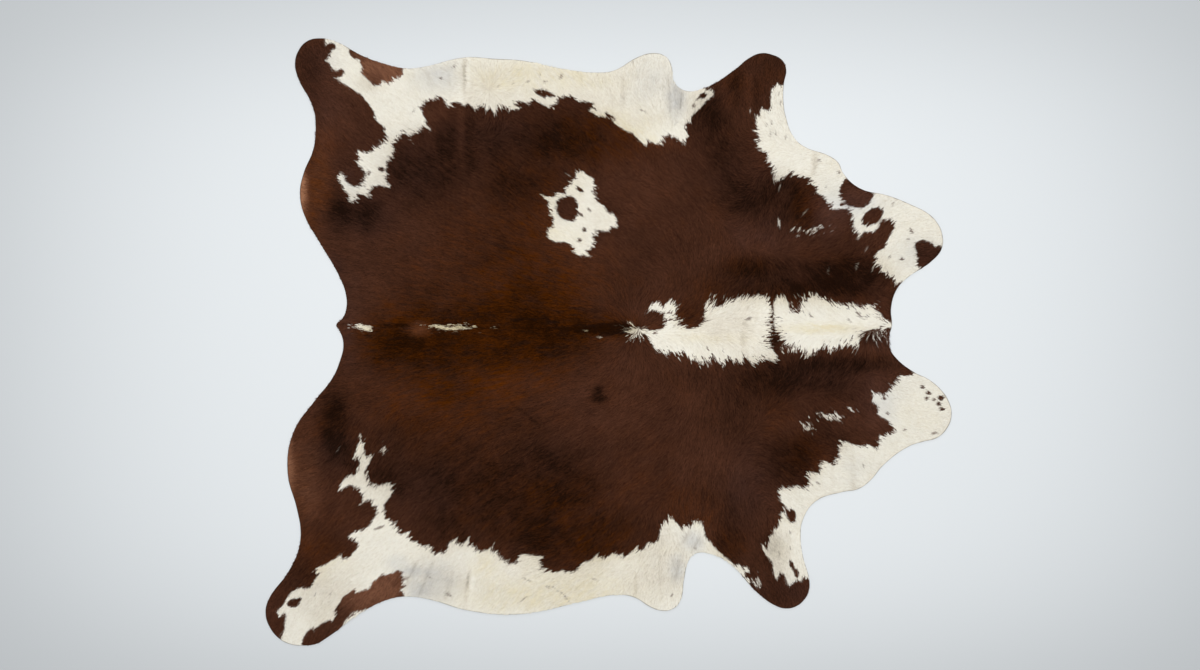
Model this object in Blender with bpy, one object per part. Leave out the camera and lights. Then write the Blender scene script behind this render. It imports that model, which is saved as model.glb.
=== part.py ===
"""A whole cowhide floor rug: one flat sheet of hair-on leather in the outline of the hide.

The hide lies hair side up on the floor. The spine runs along X from the tail at -X to the neck at +X,
so +Y is the animal's left side. Z is zero where the hide rests. The origin is the middle of the
footprint.
"""

import bpy
from collections import namedtuple
from mathutils import Matrix

CM = 0.01

# Driving dimensions, in metres.
HIDE_THICKNESS = 0.002  # the tanned skin
COAT_THICKNESS = 0.004  # the short hair, lying flat on it
SHEET_THICKNESS = HIDE_THICKNESS + COAT_THICKNESS
CURVE_STEPS = 5  # straight edges between two points of the outline

COAT_COLOUR = (0.045, 0.013, 0.006, 1.0)  # linear, the dark red-brown of most of the coat
COAT_ROUGHNESS = 0.7

# The cut edge, in centimetres, as one round trip: along the left side from tail to neck, then back
# along the right side. Each row is a turn or a bend of the edge, and a smooth curve joins them.
Turn = namedtuple("Turn", "along_spine across")

TAIL_ROOT = [
    Turn(-90.4, 4.2),
    Turn(-91.3, 5.6),
    Turn(-89.2, 7.8),
    Turn(-87.9, 11.4),
]
LEFT_RUMP = [
    Turn(-88.0, 15.6),
    Turn(-89.8, 21.0),
    Turn(-97.0, 33.6),
    Turn(-101.9, 42.3),
    Turn(-103.5, 49.8),
    Turn(-102.1, 57.0),
    Turn(-99.1, 64.2),
]
LEFT_HIND_LEG = [
    Turn(-98.2, 71.1),
    Turn(-99.0, 78.5),
    Turn(-104.2, 88.8),
    Turn(-105.1, 93.6),
    Turn(-103.8, 97.9),
    Turn(-101.1, 100.8),
    Turn(-97.2, 101.8),
    Turn(-91.8, 100.8),
    Turn(-82.5, 95.9),
    Turn(-75.8, 93.4),
    Turn(-68.4, 91.7),
]
LEFT_FLANK = [
    Turn(-63.0, 92.0),
    Turn(-48.1, 95.4),
    Turn(-38.2, 94.9),
    Turn(-28.7, 94.3),
    Turn(-15.4, 91.5),
    Turn(-3.1, 90.3),
]
LEFT_BELLY_FLAP = [
    Turn(1.9, 91.0),
    Turn(9.7, 95.4),
    Turn(14.6, 96.8),
    Turn(19.0, 95.8),
    Turn(20.9, 93.2),
    Turn(22.2, 86.8),
    Turn(26.3, 84.1),
]
LEFT_FORE_LEG = [
    Turn(33.1, 85.5),
    Turn(42.7, 91.6),
    Turn(47.0, 95.1),
    Turn(51.0, 96.8),
    Turn(54.6, 96.4),
    Turn(58.4, 94.3),
    Turn(59.6, 91.2),
    Turn(58.8, 86.8),
    Turn(58.6, 80.7),
    Turn(59.5, 75.2),
    Turn(61.9, 69.0),
    Turn(65.4, 65.6),
]
LEFT_SHOULDER = [
    Turn(74.3, 62.2),
    Turn(77.2, 59.9),
    Turn(78.6, 56.7),
    Turn(84.1, 51.6),
    Turn(93.9, 49.0),
]
LEFT_NECK_FLAP = [
    Turn(101.6, 45.9),
    Turn(106.9, 43.2),
    Turn(110.0, 40.2),
    Turn(111.9, 36.0),
    Turn(111.8, 31.5),
    Turn(109.3, 27.9),
    Turn(99.0, 20.5),
    Turn(96.3, 17.0),
]
NECK_NOTCH = [
    Turn(94.7, 11.0),
    Turn(95.0, 5.4),
    Turn(93.9, 1.3),
    Turn(94.2, -1.8),
    Turn(95.8, -4.7),
]
RIGHT_NECK_FLAP = [
    Turn(102.5, -10.2),
    Turn(107.2, -12.5),
    Turn(111.4, -16.0),
    Turn(114.1, -20.0),
    Turn(115.0, -24.5),
    Turn(113.6, -28.8),
    Turn(110.2, -32.1),
    Turn(105.6, -33.4),
    Turn(100.8, -35.0),
]
RIGHT_SHOULDER = [
    Turn(91.9, -41.6),
    Turn(88.0, -46.3),
    Turn(83.8, -49.3),
    Turn(78.6, -50.3),
    Turn(69.4, -53.5),
]
RIGHT_FORE_LEG = [
    Turn(65.1, -59.8),
    Turn(64.4, -65.0),
    Turn(65.2, -72.0),
    Turn(67.3, -80.0),
    Turn(67.1, -83.6),
    Turn(65.3, -86.8),
    Turn(62.6, -88.8),
    Turn(59.8, -89.4),
    Turn(56.8, -88.8),
    Turn(49.9, -84.1),
    Turn(42.2, -75.6),
    Turn(38.3, -72.7),
]
RIGHT_BELLY_FLAP = [
    Turn(34.2, -71.1),
    Turn(29.8, -70.8),
    Turn(27.2, -72.7),
    Turn(25.4, -79.0),
    Turn(23.8, -87.3),
    Turn(21.2, -89.7),
    Turn(17.7, -90.1),
    Turn(13.7, -88.7),
    Turn(9.1, -85.8),
    Turn(3.8, -84.8),
]
RIGHT_FLANK = [
    Turn(-9.5, -87.1),
    Turn(-21.4, -90.0),
    Turn(-33.3, -91.4),
    Turn(-48.3, -89.8),
    Turn(-59.9, -86.4),
    Turn(-68.0, -85.4),
]
RIGHT_HIND_LEG = [
    Turn(-74.0, -86.4),
    Turn(-83.6, -91.2),
    Turn(-94.1, -99.0),
    Turn(-98.5, -101.4),
    Turn(-102.5, -101.8),
    Turn(-106.5, -101.4),
    Turn(-110.3, -99.6),
    Turn(-113.6, -95.7),
    Turn(-115.0, -91.2),
    Turn(-114.2, -86.8),
    Turn(-107.5, -77.3),
]
RIGHT_RUMP = [
    Turn(-104.2, -70.5),
    Turn(-103.2, -64.5),
    Turn(-104.5, -56.0),
    Turn(-107.6, -44.0),
    Turn(-105.8, -30.6),
    Turn(-98.3, -19.5),
    Turn(-92.8, -12.5),
    Turn(-90.1, -6.5),
    Turn(-88.9, -0.5),
]

OUTLINE = (
    TAIL_ROOT
    + LEFT_RUMP
    + LEFT_HIND_LEG
    + LEFT_FLANK
    + LEFT_BELLY_FLAP
    + LEFT_FORE_LEG
    + LEFT_SHOULDER
    + LEFT_NECK_FLAP
    + NECK_NOTCH
    + RIGHT_NECK_FLAP
    + RIGHT_SHOULDER
    + RIGHT_FORE_LEG
    + RIGHT_BELLY_FLAP
    + RIGHT_FLANK
    + RIGHT_HIND_LEG
    + RIGHT_RUMP
)


def clear_scene():
    for obj in list(bpy.data.objects):
        bpy.data.objects.remove(obj)


def add_collection(name):
    collection = bpy.data.collections.new(name)
    bpy.context.scene.collection.children.link(collection)
    return collection


def coat_material():
    """Hair-on leather: a soft, low sheen over dark red-brown."""
    material = bpy.data.materials.new("hair_on_hide")
    material.use_nodes = True
    shader = material.node_tree.nodes["Principled BSDF"]
    shader.inputs["Base Color"].default_value = COAT_COLOUR
    shader.inputs["Roughness"].default_value = COAT_ROUGHNESS
    shader.inputs["Metallic"].default_value = 0.0
    return material


def add_cut_edge(curve):
    """The closed edge of the hide, with a smooth turn at each row of the outline."""
    spline = curve.splines.new("BEZIER")
    spline.bezier_points.add(len(OUTLINE) - 1)
    for point, turn in zip(spline.bezier_points, OUTLINE):
        point.co = (turn.along_spine * CM, turn.across * CM, 0.0)
        point.handle_left_type = "AUTO"
        point.handle_right_type = "AUTO"
    spline.use_cyclic_u = True
    spline.resolution_u = CURVE_STEPS


def rest_on_origin(obj):
    """Moves the shape, not the object, so that the origin is under the middle of its box."""
    bpy.context.view_layer.update()
    xs, ys, zs = zip(*obj.bound_box)
    middle = ((min(xs) + max(xs)) / 2, (min(ys) + max(ys)) / 2)
    obj.data.transform(Matrix.Translation((-middle[0], -middle[1], 0.0)))
    obj.location.z = -min(zs)


def add_hide(collection):
    curve = bpy.data.curves.new("hide", "CURVE")
    curve.dimensions = "2D"
    curve.fill_mode = "BOTH"
    curve.resolution_u = CURVE_STEPS
    curve.extrude = SHEET_THICKNESS / 2
    add_cut_edge(curve)
    curve.materials.append(coat_material())
    hide = bpy.data.objects.new("hide", curve)
    collection.objects.link(hide)
    rest_on_origin(hide)
    return hide


def main():
    clear_scene()
    add_hide(add_collection("cowhide_rug"))


main()
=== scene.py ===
import functools
import math

import bmesh
import bpy
import numpy as np
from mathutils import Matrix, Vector
from mathutils.geometry import delaunay_2d_cdt


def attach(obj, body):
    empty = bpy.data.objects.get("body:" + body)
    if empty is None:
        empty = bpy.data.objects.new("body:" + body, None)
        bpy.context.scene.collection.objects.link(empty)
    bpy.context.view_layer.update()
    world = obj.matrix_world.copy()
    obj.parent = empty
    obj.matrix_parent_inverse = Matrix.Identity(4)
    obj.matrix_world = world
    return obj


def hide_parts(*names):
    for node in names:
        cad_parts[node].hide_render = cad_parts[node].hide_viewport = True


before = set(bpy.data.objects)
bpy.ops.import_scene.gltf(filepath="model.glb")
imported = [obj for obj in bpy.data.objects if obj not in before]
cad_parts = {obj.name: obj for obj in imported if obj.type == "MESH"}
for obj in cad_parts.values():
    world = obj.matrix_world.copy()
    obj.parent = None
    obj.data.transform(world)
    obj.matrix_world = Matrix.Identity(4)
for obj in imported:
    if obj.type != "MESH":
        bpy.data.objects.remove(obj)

bl_info = {
    "name": "Cowhide Rug",
    "version": (1, 0, 0),
    "blender": (4, 5, 0),
    "location": "View3D > Sidebar > Cowhide",
    "description": "A whole brown and white cowhide: the tanned skin, its coat of hair and a plain studio",
    "category": "Object",
}

CM = 0.01
MM = 0.001
NODE = "hide"
BANDS = ["coat_rump", "coat_loin", "coat_back", "coat_shoulder", "coat_neck"]

# ---------------------------------------------------------------- what is on the hide, in centimetres
# x runs along the spine from the tail (-x) to the neck (+x), and y across it, with the animal's left
# side at +y. White markings are closed rings. Where one runs off the hide, its last few corners lie
# outside the cut edge.

LEFT_HIND_WHITE = [
    (-94.8, 104), (-95, 101), (-94.7, 99.4), (-93.6, 98.3), (-92.9, 97.2), (-93.5, 96), (-95.2, 94.5),
    (-93.5, 93.5), (-92.9, 92), (-91.6, 91), (-89.8, 88.7), (-91.4, 88.5), (-90, 87.4), (-87.7, 86),
    (-85.2, 84.5), (-83.1, 83), (-81.2, 80.8), (-80.2, 79.3), (-78.5, 77), (-78.1, 74.5), (-75.2, 72.2),
    (-75, 69.9), (-74.1, 68.3), (-75.6, 67), (-77.7, 64.7), (-80, 63.5), (-81.2, 62.8), (-84.1, 64.3),
    (-83.7, 62), (-84.3, 59.9), (-82.5, 58), (-81.6, 56.4), (-81.6, 54.7), (-82.9, 52.8), (-84.8, 51.4),
    (-86, 52.2), (-87.7, 53.5), (-88.3, 54.5), (-88.5, 55.8), (-89.3, 57), (-90.2, 55.8), (-91.2, 54.9),
    (-90.2, 53.7), (-89.3, 51.8), (-87.5, 49.9), (-86.8, 47.4), (-86.2, 46), (-85, 47.6), (-84.1, 49.7),
    (-82.5, 49.5), (-80.6, 48.3), (-80, 50.3), (-78.9, 52.6), (-75.6, 52.6), (-74.1, 51.8), (-74.5, 54.5),
    (-74.5, 57.8), (-73.9, 61.2), (-72.3, 62.6), (-72.5, 65.1), (-72.3, 67), (-70.8, 67.8), (-70.2, 69.7),
    (-68.5, 70.3), (-67.3, 69.1), (-65.2, 70.1), (-62.7, 72.6), (-60.2, 71.6), (-62, 73.7), (-61.6, 74.9),
    (-62.7, 77.4), (-63.5, 78.9), (-61.4, 80.8), (-59.8, 81.4), (-56.4, 82.2), (-52, 82), (-52, 100),
    (-70, 104), (-88, 104),
]
LEFT_BELLY_WHITE = [
    (-56, 83), (-53.9, 79.6), (-54.5, 78.5), (-52.9, 79.6), (-51.6, 80.6), (-49.8, 80.2), (-48.5, 79),
    (-47.5, 80), (-46, 79.6), (-45, 78.1), (-43.1, 79.2), (-42.3, 79.4), (-41, 77.3), (-40, 78.8),
    (-37.7, 76), (-37.9, 78.3), (-35.2, 78.7), (-33.3, 78.1), (-31.4, 77.7), (-30.2, 78.8), (-31.8, 80),
    (-29.3, 80.8), (-27.3, 80), (-25.4, 81.7), (-23.1, 80.6), (-20.6, 78.5), (-19.3, 79.2), (-17.7, 80.2),
    (-17.5, 81.7), (-15, 82.3), (-12.3, 82.7), (-10.8, 80.6), (-8.1, 80.8), (-5, 80), (-5, 78.3),
    (-6.6, 77.5), (-4.3, 76), (-1.8, 75.4), (-0.6, 76.7), (1.4, 75.9), (2.5, 74.8), (1.4, 74.6),
    (2.3, 73.1), (4.8, 71.3), (8.1, 69.8), (10.2, 67.7), (12.3, 65.8), (13.9, 67.5), (15.2, 66.9),
    (17.9, 66.3), (18.5, 67.9), (17.7, 69.2), (20.2, 69.8), (21.4, 69.2), (23.1, 67.9), (25.6, 67.1),
    (26.6, 69.2), (26.6, 70.2), (25.4, 71.3), (26, 73.3), (27.7, 75.4), (29.3, 77.5), (31.4, 79.2),
    (32.7, 80.6), (34.8, 82.1), (35, 84.2), (34.3, 86), (33, 92), (22, 104), (-56, 104),
]
LEFT_NECK_WHITE = [
    (58.6, 85.6), (56.5, 86.5), (54.8, 84.2), (54.2, 81.3), (54.6, 78.3), (53.2, 76.9), (51.3, 79),
    (50.7, 76.3), (49.2, 75.4), (49.8, 72.9), (49, 70.6), (50.5, 69.6), (50.5, 67.5), (49.4, 66),
    (50.9, 64), (53.2, 63.3), (53.4, 60.6), (55.7, 58.3), (55, 54.6), (55.9, 53.1), (57.3, 54.6),
    (59.2, 55.4), (60.9, 57.5), (61.9, 56.3), (64.8, 55.4), (67.5, 55), (68.6, 53.3), (70, 51.7),
    (70.3, 49.8), (72.3, 48.8), (73.8, 46.7), (75, 44.4), (78.6, 44.6), (80.7, 44.6), (81.5, 42.9),
    (81.9, 40.4), (82.3, 37.9), (83.8, 36.5), (83.6, 34.4), (85.7, 36.9), (89.4, 37.1), (90.7, 39.2),
    (91.9, 41.3), (94, 41), (95.9, 40.2), (95.7, 37.9), (94, 35.4), (93.2, 32.9), (92.3, 31.3),
    (90.3, 30.4), (89.4, 28.8), (90, 25.8), (92.3, 23.3), (95.3, 21.7), (96.7, 19.6), (99.5, 20),
    (106, 17), (119, 24), (119, 44), (102, 53), (86, 58), (80, 64), (70, 71), (66, 76), (65, 86),
]
BLAZE_BACK = [
    (6, 3.4), (8, 4.6), (10.4, 4.9), (12.2, 4.3), (14.5, 6), (14.5, 9), (12.9, 10.3), (13.3, 11.6),
    (15, 12.9), (17.2, 13.6), (17.9, 12.2), (18.7, 11.4), (19.4, 12.8), (20.8, 13.8), (22, 13),
    (22.5, 11.4), (22.3, 8.9), (22.6, 6.9), (23.7, 5.5), (25.4, 4.6), (27.4, 4.2), (29.6, 4.6),
    (31.5, 5.8), (32.6, 7.6), (32.9, 9.8), (32.5, 12.4), (33.4, 14.3), (34.6, 13.5), (35.5, 12.2),
    (37.2, 11.8), (38.6, 12.9), (40, 13.9), (42.6, 13.9), (43.4, 15.2), (45.5, 14.8), (49.7, 15.6),
    (51.3, 15.7), (52.8, 15.4), (54, 13.5), (54.5, 11.4), (54.5, 8.9), (54.4, 6.4), (54, 4), (53.5, 1),
    (53.9, -1.1), (55.6, -3.6), (57, -4.8), (56, -6.7), (53.4, -5.9), (51.3, -6.1), (50, -6.7),
    (48.4, -8), (47.2, -6.1), (45.5, -4.4), (44.3, -6.9), (42.6, -6.5), (40, -4.8), (38.8, -6.9),
    (37.2, -7.3), (35, -4.8), (33.8, -6.5), (30.5, -7.3), (28.8, -5.7), (27, -5.9), (25.7, -3),
    (24.7, -4), (21.8, -3.4), (18.6, -3.8), (16.4, -3.2), (14.9, -1.4), (14, 0.8), (12.7, 2.5),
    (10.5, 2.7), (8, 2.7),
]
BLAZE_NECK = [
    (55.4, 13.5), (56.7, 15.2), (59.1, 15.4), (60.2, 13.4), (60.6, 11), (62.3, 10.4), (64.1, 11.2),
    (65.6, 14.4), (67.2, 15.6), (68.4, 16), (70.4, 15.4), (72.4, 14.2), (74.2, 12.6), (75.8, 13),
    (78.4, 12.4), (80.6, 12.1), (82.4, 12.6), (84.6, 11.4), (87, 12.2), (89, 11.2), (91.3, 8.8),
    (92.9, 7.2), (97, 6), (94.8, 4.6), (91.5, 4), (87, 3.8), (84.1, 2.9), (84.4, 0.4), (83.4, -2.1),
    (81.6, -1.6), (79.4, -0.8), (76.3, -1.4), (74.4, -3.2), (72.9, -2), (70.6, -2.1), (68.8, -4),
    (67, -5), (65.2, -3.4), (63.4, -2.8), (61.3, -2.1), (59.6, -0.6), (58.4, 0.9), (57.2, 2.4), (56.2, 4),
    (55.7, 6), (55.6, 9.8),
]
RIGHT_NECK_WHITE = [
    (102.7, -10.5), (100.6, -11.5), (97.1, -11.3), (96.9, -14), (95, -14.9), (93.8, -17), (91.7, -17.8),
    (89.4, -17.4), (88.1, -15.9), (88.8, -18.4), (88.3, -20.3), (90.2, -20.9), (90.4, -23.4), (91, -24.7),
    (93.3, -26.1), (95.2, -28), (95.8, -29.7), (94.2, -30.7), (92.1, -31.8), (90.8, -31.8), (90.8, -33.8),
    (89.2, -35.7), (87.1, -34.5), (85, -34.3), (84.2, -35.3), (80, -33.6), (78.3, -33), (77.7, -35.1),
    (76.7, -37.2), (77.3, -39), (75.2, -41.8), (73.3, -40.1), (71.5, -40.1), (71.5, -42.2), (70, -44),
    (67.9, -43.4), (66.9, -44.9), (67.3, -48.4), (65.6, -49.7), (64.2, -48.4), (60.4, -49), (57.7, -49.7),
    (57.3, -51.8), (58.1, -54), (59.8, -55.5), (58.9, -56.1), (57.9, -58.3), (57.7, -60), (56.8, -62.3),
    (55.6, -62.7), (55.5, -64.7), (54.7, -64.8), (53.9, -67.3), (53.1, -69.5), (51.2, -68.1),
    (52.7, -71.4), (55, -73.9), (55.4, -77.3), (56.2, -79.8), (57.7, -77.3), (58.9, -77.9), (59.5, -79.8),
    (60.6, -81.8), (62.3, -80.6), (63.5, -80), (64.8, -80.6), (65.2, -78.9), (67, -79.3), (73, -79),
    (72, -62), (80, -57), (96, -50), (108, -40), (121, -34), (122, -14), (108, -6),
]
RIGHT_BELLY_WHITE = [
    (-62, -68.7), (-60.1, -68.2), (-59.5, -70.3), (-58.5, -71.8), (-57, -70.8), (-54.3, -70.8),
    (-53.5, -67.2), (-51.6, -66.6), (-50.1, -67.8), (-48.3, -67.6), (-47.2, -66), (-46.6, -68),
    (-45.1, -69.5), (-44.1, -70.5), (-41.6, -70.3), (-39.3, -68.9), (-38.5, -70.5), (-37, -71.6),
    (-35.3, -73.3), (-33.7, -74.5), (-30.3, -74.5), (-29.9, -72.4), (-29.1, -71.2), (-25.3, -71.6),
    (-22, -72), (-23, -73.5), (-22.8, -75.3), (-20.8, -77), (-17.8, -77.2), (-15.3, -76.4), (-12, -77.4),
    (-9.9, -76), (-8.3, -74), (-5.8, -73.3), (-3.7, -71), (-2.8, -72.8), (-1.5, -73.1), (0.2, -71.6),
    (2.7, -71.2), (5.2, -72), (7.3, -70.8), (9.1, -68.9), (10.4, -70.4), (11.8, -69.5), (13.3, -67.3),
    (15.4, -67.9), (16.8, -66.6), (17.3, -64.3), (17.7, -62), (19.8, -60.2), (20.6, -59.1), (22.7, -60.4),
    (23.9, -62), (24.8, -63.3), (25.2, -62.3), (27.3, -61.6), (29.3, -60.4), (31.4, -61.2), (32, -63.5),
    (32.5, -66), (34.3, -67.3), (36, -69.3), (38.5, -72), (40.8, -73.5), (42.3, -75.4), (43.9, -74.5),
    (45, -76), (46.1, -75.2), (47.7, -77.7), (47, -84), (30, -98), (-63, -98),
]
RIGHT_HIND_WHITE = [
    (-110, -100), (-108.7, -96.7), (-108.3, -92.9), (-108.1, -90.8), (-110.2, -92.1), (-111.4, -91),
    (-109.8, -89.2), (-108.5, -87.5), (-107.7, -85.4), (-105.6, -83.5), (-103.5, -82.5), (-101.4, -82.9),
    (-100, -82.7), (-98.9, -80.8), (-98.5, -79.6), (-96.8, -77.9), (-98.5, -76.7), (-97.7, -75.4),
    (-95.2, -75.2), (-93.1, -73.5), (-91, -72.5), (-90.2, -71.5), (-88.9, -72.9), (-86.8, -72.3),
    (-85.2, -70.4), (-83.9, -67.7), (-85.2, -66), (-87.3, -65.4), (-84.8, -63.4), (-82.3, -63.1),
    (-80, -61.8), (-79.3, -60.2), (-78.1, -58.5), (-77.7, -56), (-78.1, -54.8), (-79.3, -55.2),
    (-78.9, -53.1), (-80.6, -52.7), (-82.7, -54.1), (-82.3, -51.4), (-83.5, -49.3), (-86, -48.1),
    (-88.1, -48.7), (-90.6, -50.2), (-89.3, -46.8), (-87.5, -44.8), (-84.3, -44.5), (-83.5, -41.4),
    (-83.3, -38.9), (-85, -38.5), (-86, -39.5), (-84.5, -36.8), (-84.3, -34.8), (-83.7, -33.5),
    (-81.8, -35), (-82, -37.7), (-81.2, -38.9), (-79.1, -38.5), (-80.4, -40.6), (-81.4, -42.7),
    (-82.3, -44.3), (-80.8, -43.9), (-81.4, -45.4), (-80.4, -47.7), (-78.1, -48.7), (-75.2, -47.9),
    (-73.5, -47.3), (-73.1, -48.9), (-72.3, -50.6), (-73.5, -52.3), (-75.2, -54.3), (-75.4, -56.8),
    (-74.8, -58.9), (-73.3, -60.2), (-71.8, -61.4), (-71, -63.1), (-69.8, -64.5), (-66.8, -63.9),
    (-67.7, -66), (-65.2, -67), (-62.7, -68.5), (-60, -70), (-60, -92), (-84, -108), (-104, -112),
    (-112, -108),
]
STAR = [
    (-10.6, 56.9), (-8.3, 56.9), (-7.1, 56), (-5.4, 55), (-5, 53.3), (-5.2, 51.3), (-4.6, 49),
    (-4.2, 47.1), (-2.3, 46.3), (-1.3, 44.8), (0, 42.7), (1.3, 43.1), (2.5, 41.7), (3.3, 40.6),
    (2.9, 39.2), (2.3, 38.1), (1.3, 38.8), (0, 37.1), (-1.9, 37.1), (-4.2, 36.9), (-4.8, 35.4),
    (-5, 33.3), (-6.5, 31.3), (-7.1, 30.2), (-6.5, 28.5), (-7.9, 29.2), (-10.4, 28.8), (-11.5, 30),
    (-11.9, 31.3), (-12.7, 32.7), (-14.8, 33.8), (-17.7, 33.3), (-20, 34.8), (-20.4, 35.8), (-20, 38.1),
    (-19.2, 37.5), (-18.8, 38.8), (-18.1, 40.2), (-18.5, 41.7), (-19.8, 43.3), (-19.8, 46.3), (-21, 47.9),
    (-22.5, 49.2), (-19.8, 48.5), (-18.3, 48.5), (-16.9, 50), (-15, 49.6), (-14.8, 51.5), (-13.8, 52.1),
    (-12.5, 53.8), (-11, 55.2),
]
SPINE_DASHES = [
    [(-85.7, 5.3), (-83.7, 6.2), (-79.3, 4.7), (-79.7, 3.3), (-82.2, 4)],
    [(-59, 5.8), (-53, 5.2), (-44.8, 4.9), (-51.5, 4), (-56.9, 4.3)],
]
# Brown shapes that lie on the white, in the same way.
LEFT_EDGE_ISLAND = [
    (-87.3, 98.5), (-88.5, 103), (-66, 97), (-68.7, 91.6), (-68.7, 90.1), (-70, 88.7), (-71.8, 88.5),
    (-72.7, 86.8), (-73.9, 86.6), (-76.2, 87.6), (-76.8, 86.2), (-79.1, 86.2), (-80, 87.2), (-81.6, 88.9),
    (-83.1, 90.3), (-82.7, 92), (-83.3, 93.7), (-83.5, 94.7), (-85, 94.5), (-86, 95.3), (-87.3, 96.8),
]
RIGHT_EDGE_ISLAND = [
    (-103.1, -101.7), (-102.7, -100), (-101.6, -97.5), (-99.3, -95.8), (-98.9, -96.7), (-96, -94.2),
    (-93.5, -93.1), (-92.7, -93.8), (-91.4, -91.7), (-92, -90.4), (-89.8, -86.7), (-88.5, -85),
    (-85.4, -82.9), (-84.1, -84.2), (-81.4, -82.9), (-80, -82.7), (-79.1, -80.4), (-77.7, -79.6),
    (-76, -77.9), (-72.7, -77.9), (-70.8, -76.7), (-68.8, -77.2), (-69.8, -78.6), (-67.8, -79.4),
    (-69.5, -80.6), (-68, -82), (-69.8, -83), (-68.5, -84.4), (-69.5, -88), (-85, -101), (-100, -109),
]
BELLY_ISLAND = [
    (-25.5, 85), (-23.5, 84.6), (-21, 84.4), (-18.9, 83.4), (-17.8, 82.9), (-19.4, 82.2), (-21.5, 81.8),
    (-23.2, 82.4), (-24.6, 83.6),
]
NECK_ISLANDS = [
    [
        (81, 56.5), (78.4, 53.6), (77.1, 50.4), (77.8, 47.6), (79.8, 45.7), (82.6, 44.8), (85.4, 44.9),
        (87.6, 46.4), (88.6, 48.6), (88.9, 50.4), (90, 56),
    ],
    [
        (84.6, 40.8), (85.8, 43), (87.8, 44.7), (89.8, 45.2), (91.9, 44.6), (92.2, 43), (91.2, 40.9),
        (89.4, 39.2), (87.2, 38.7), (85, 39.2),
    ],
    [
        (102.5, 31.7), (102.8, 33.3), (105.3, 34.4), (108.2, 33.3), (109.6, 31.7), (110.3, 32.3),
        (114, 32.1), (115, 26), (105.5, 22), (104.4, 24.8), (103.2, 25.4), (103.4, 28.3),
    ],
    [
        (60, -56), (62, -56), (63, -57.6), (62.6, -59.3), (61.7, -60.6), (60.2, -59.9), (59.3, -57.6),
        (59, -55.3),
    ],
]
STAR_HOLE = [
    (-17.8, 45.4), (-17.2, 47.4), (-15.6, 48.7), (-13.6, 49.1), (-11.8, 48.6), (-10.5, 47.2),
    (-10.1, 45.2), (-10.2, 43), (-10.9, 41.2), (-12.4, 40.5), (-14.2, 40.6), (-15.9, 41.5), (-17.2, 43.2),
]
BLAZE_EYE = [
    (12, 7.2), (12.5, 9.1), (13.9, 10.5), (15.8, 11), (17.7, 10.4), (19, 9.1), (19.5, 7.2), (19, 5.4),
    (17.7, 4.1), (15.8, 3.6), (13.9, 4), (12.5, 5.3),
]
EDGE_CHIP = [(-89.5, -97), (-88.2, -93), (-84.8, -90.4), (-81.4, -90.2), (-80, -94), (-86, -98)]

WHITES = [
    LEFT_HIND_WHITE, LEFT_BELLY_WHITE, LEFT_NECK_WHITE, BLAZE_BACK, BLAZE_NECK, RIGHT_NECK_WHITE,
    RIGHT_BELLY_WHITE, RIGHT_HIND_WHITE, STAR, *SPINE_DASHES,
]
BROWNS = [LEFT_EDGE_ISLAND, RIGHT_EDGE_ISLAND, BELLY_ISLAND, *NECK_ISLANDS, STAR_HOLE, BLAZE_EYE]

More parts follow.
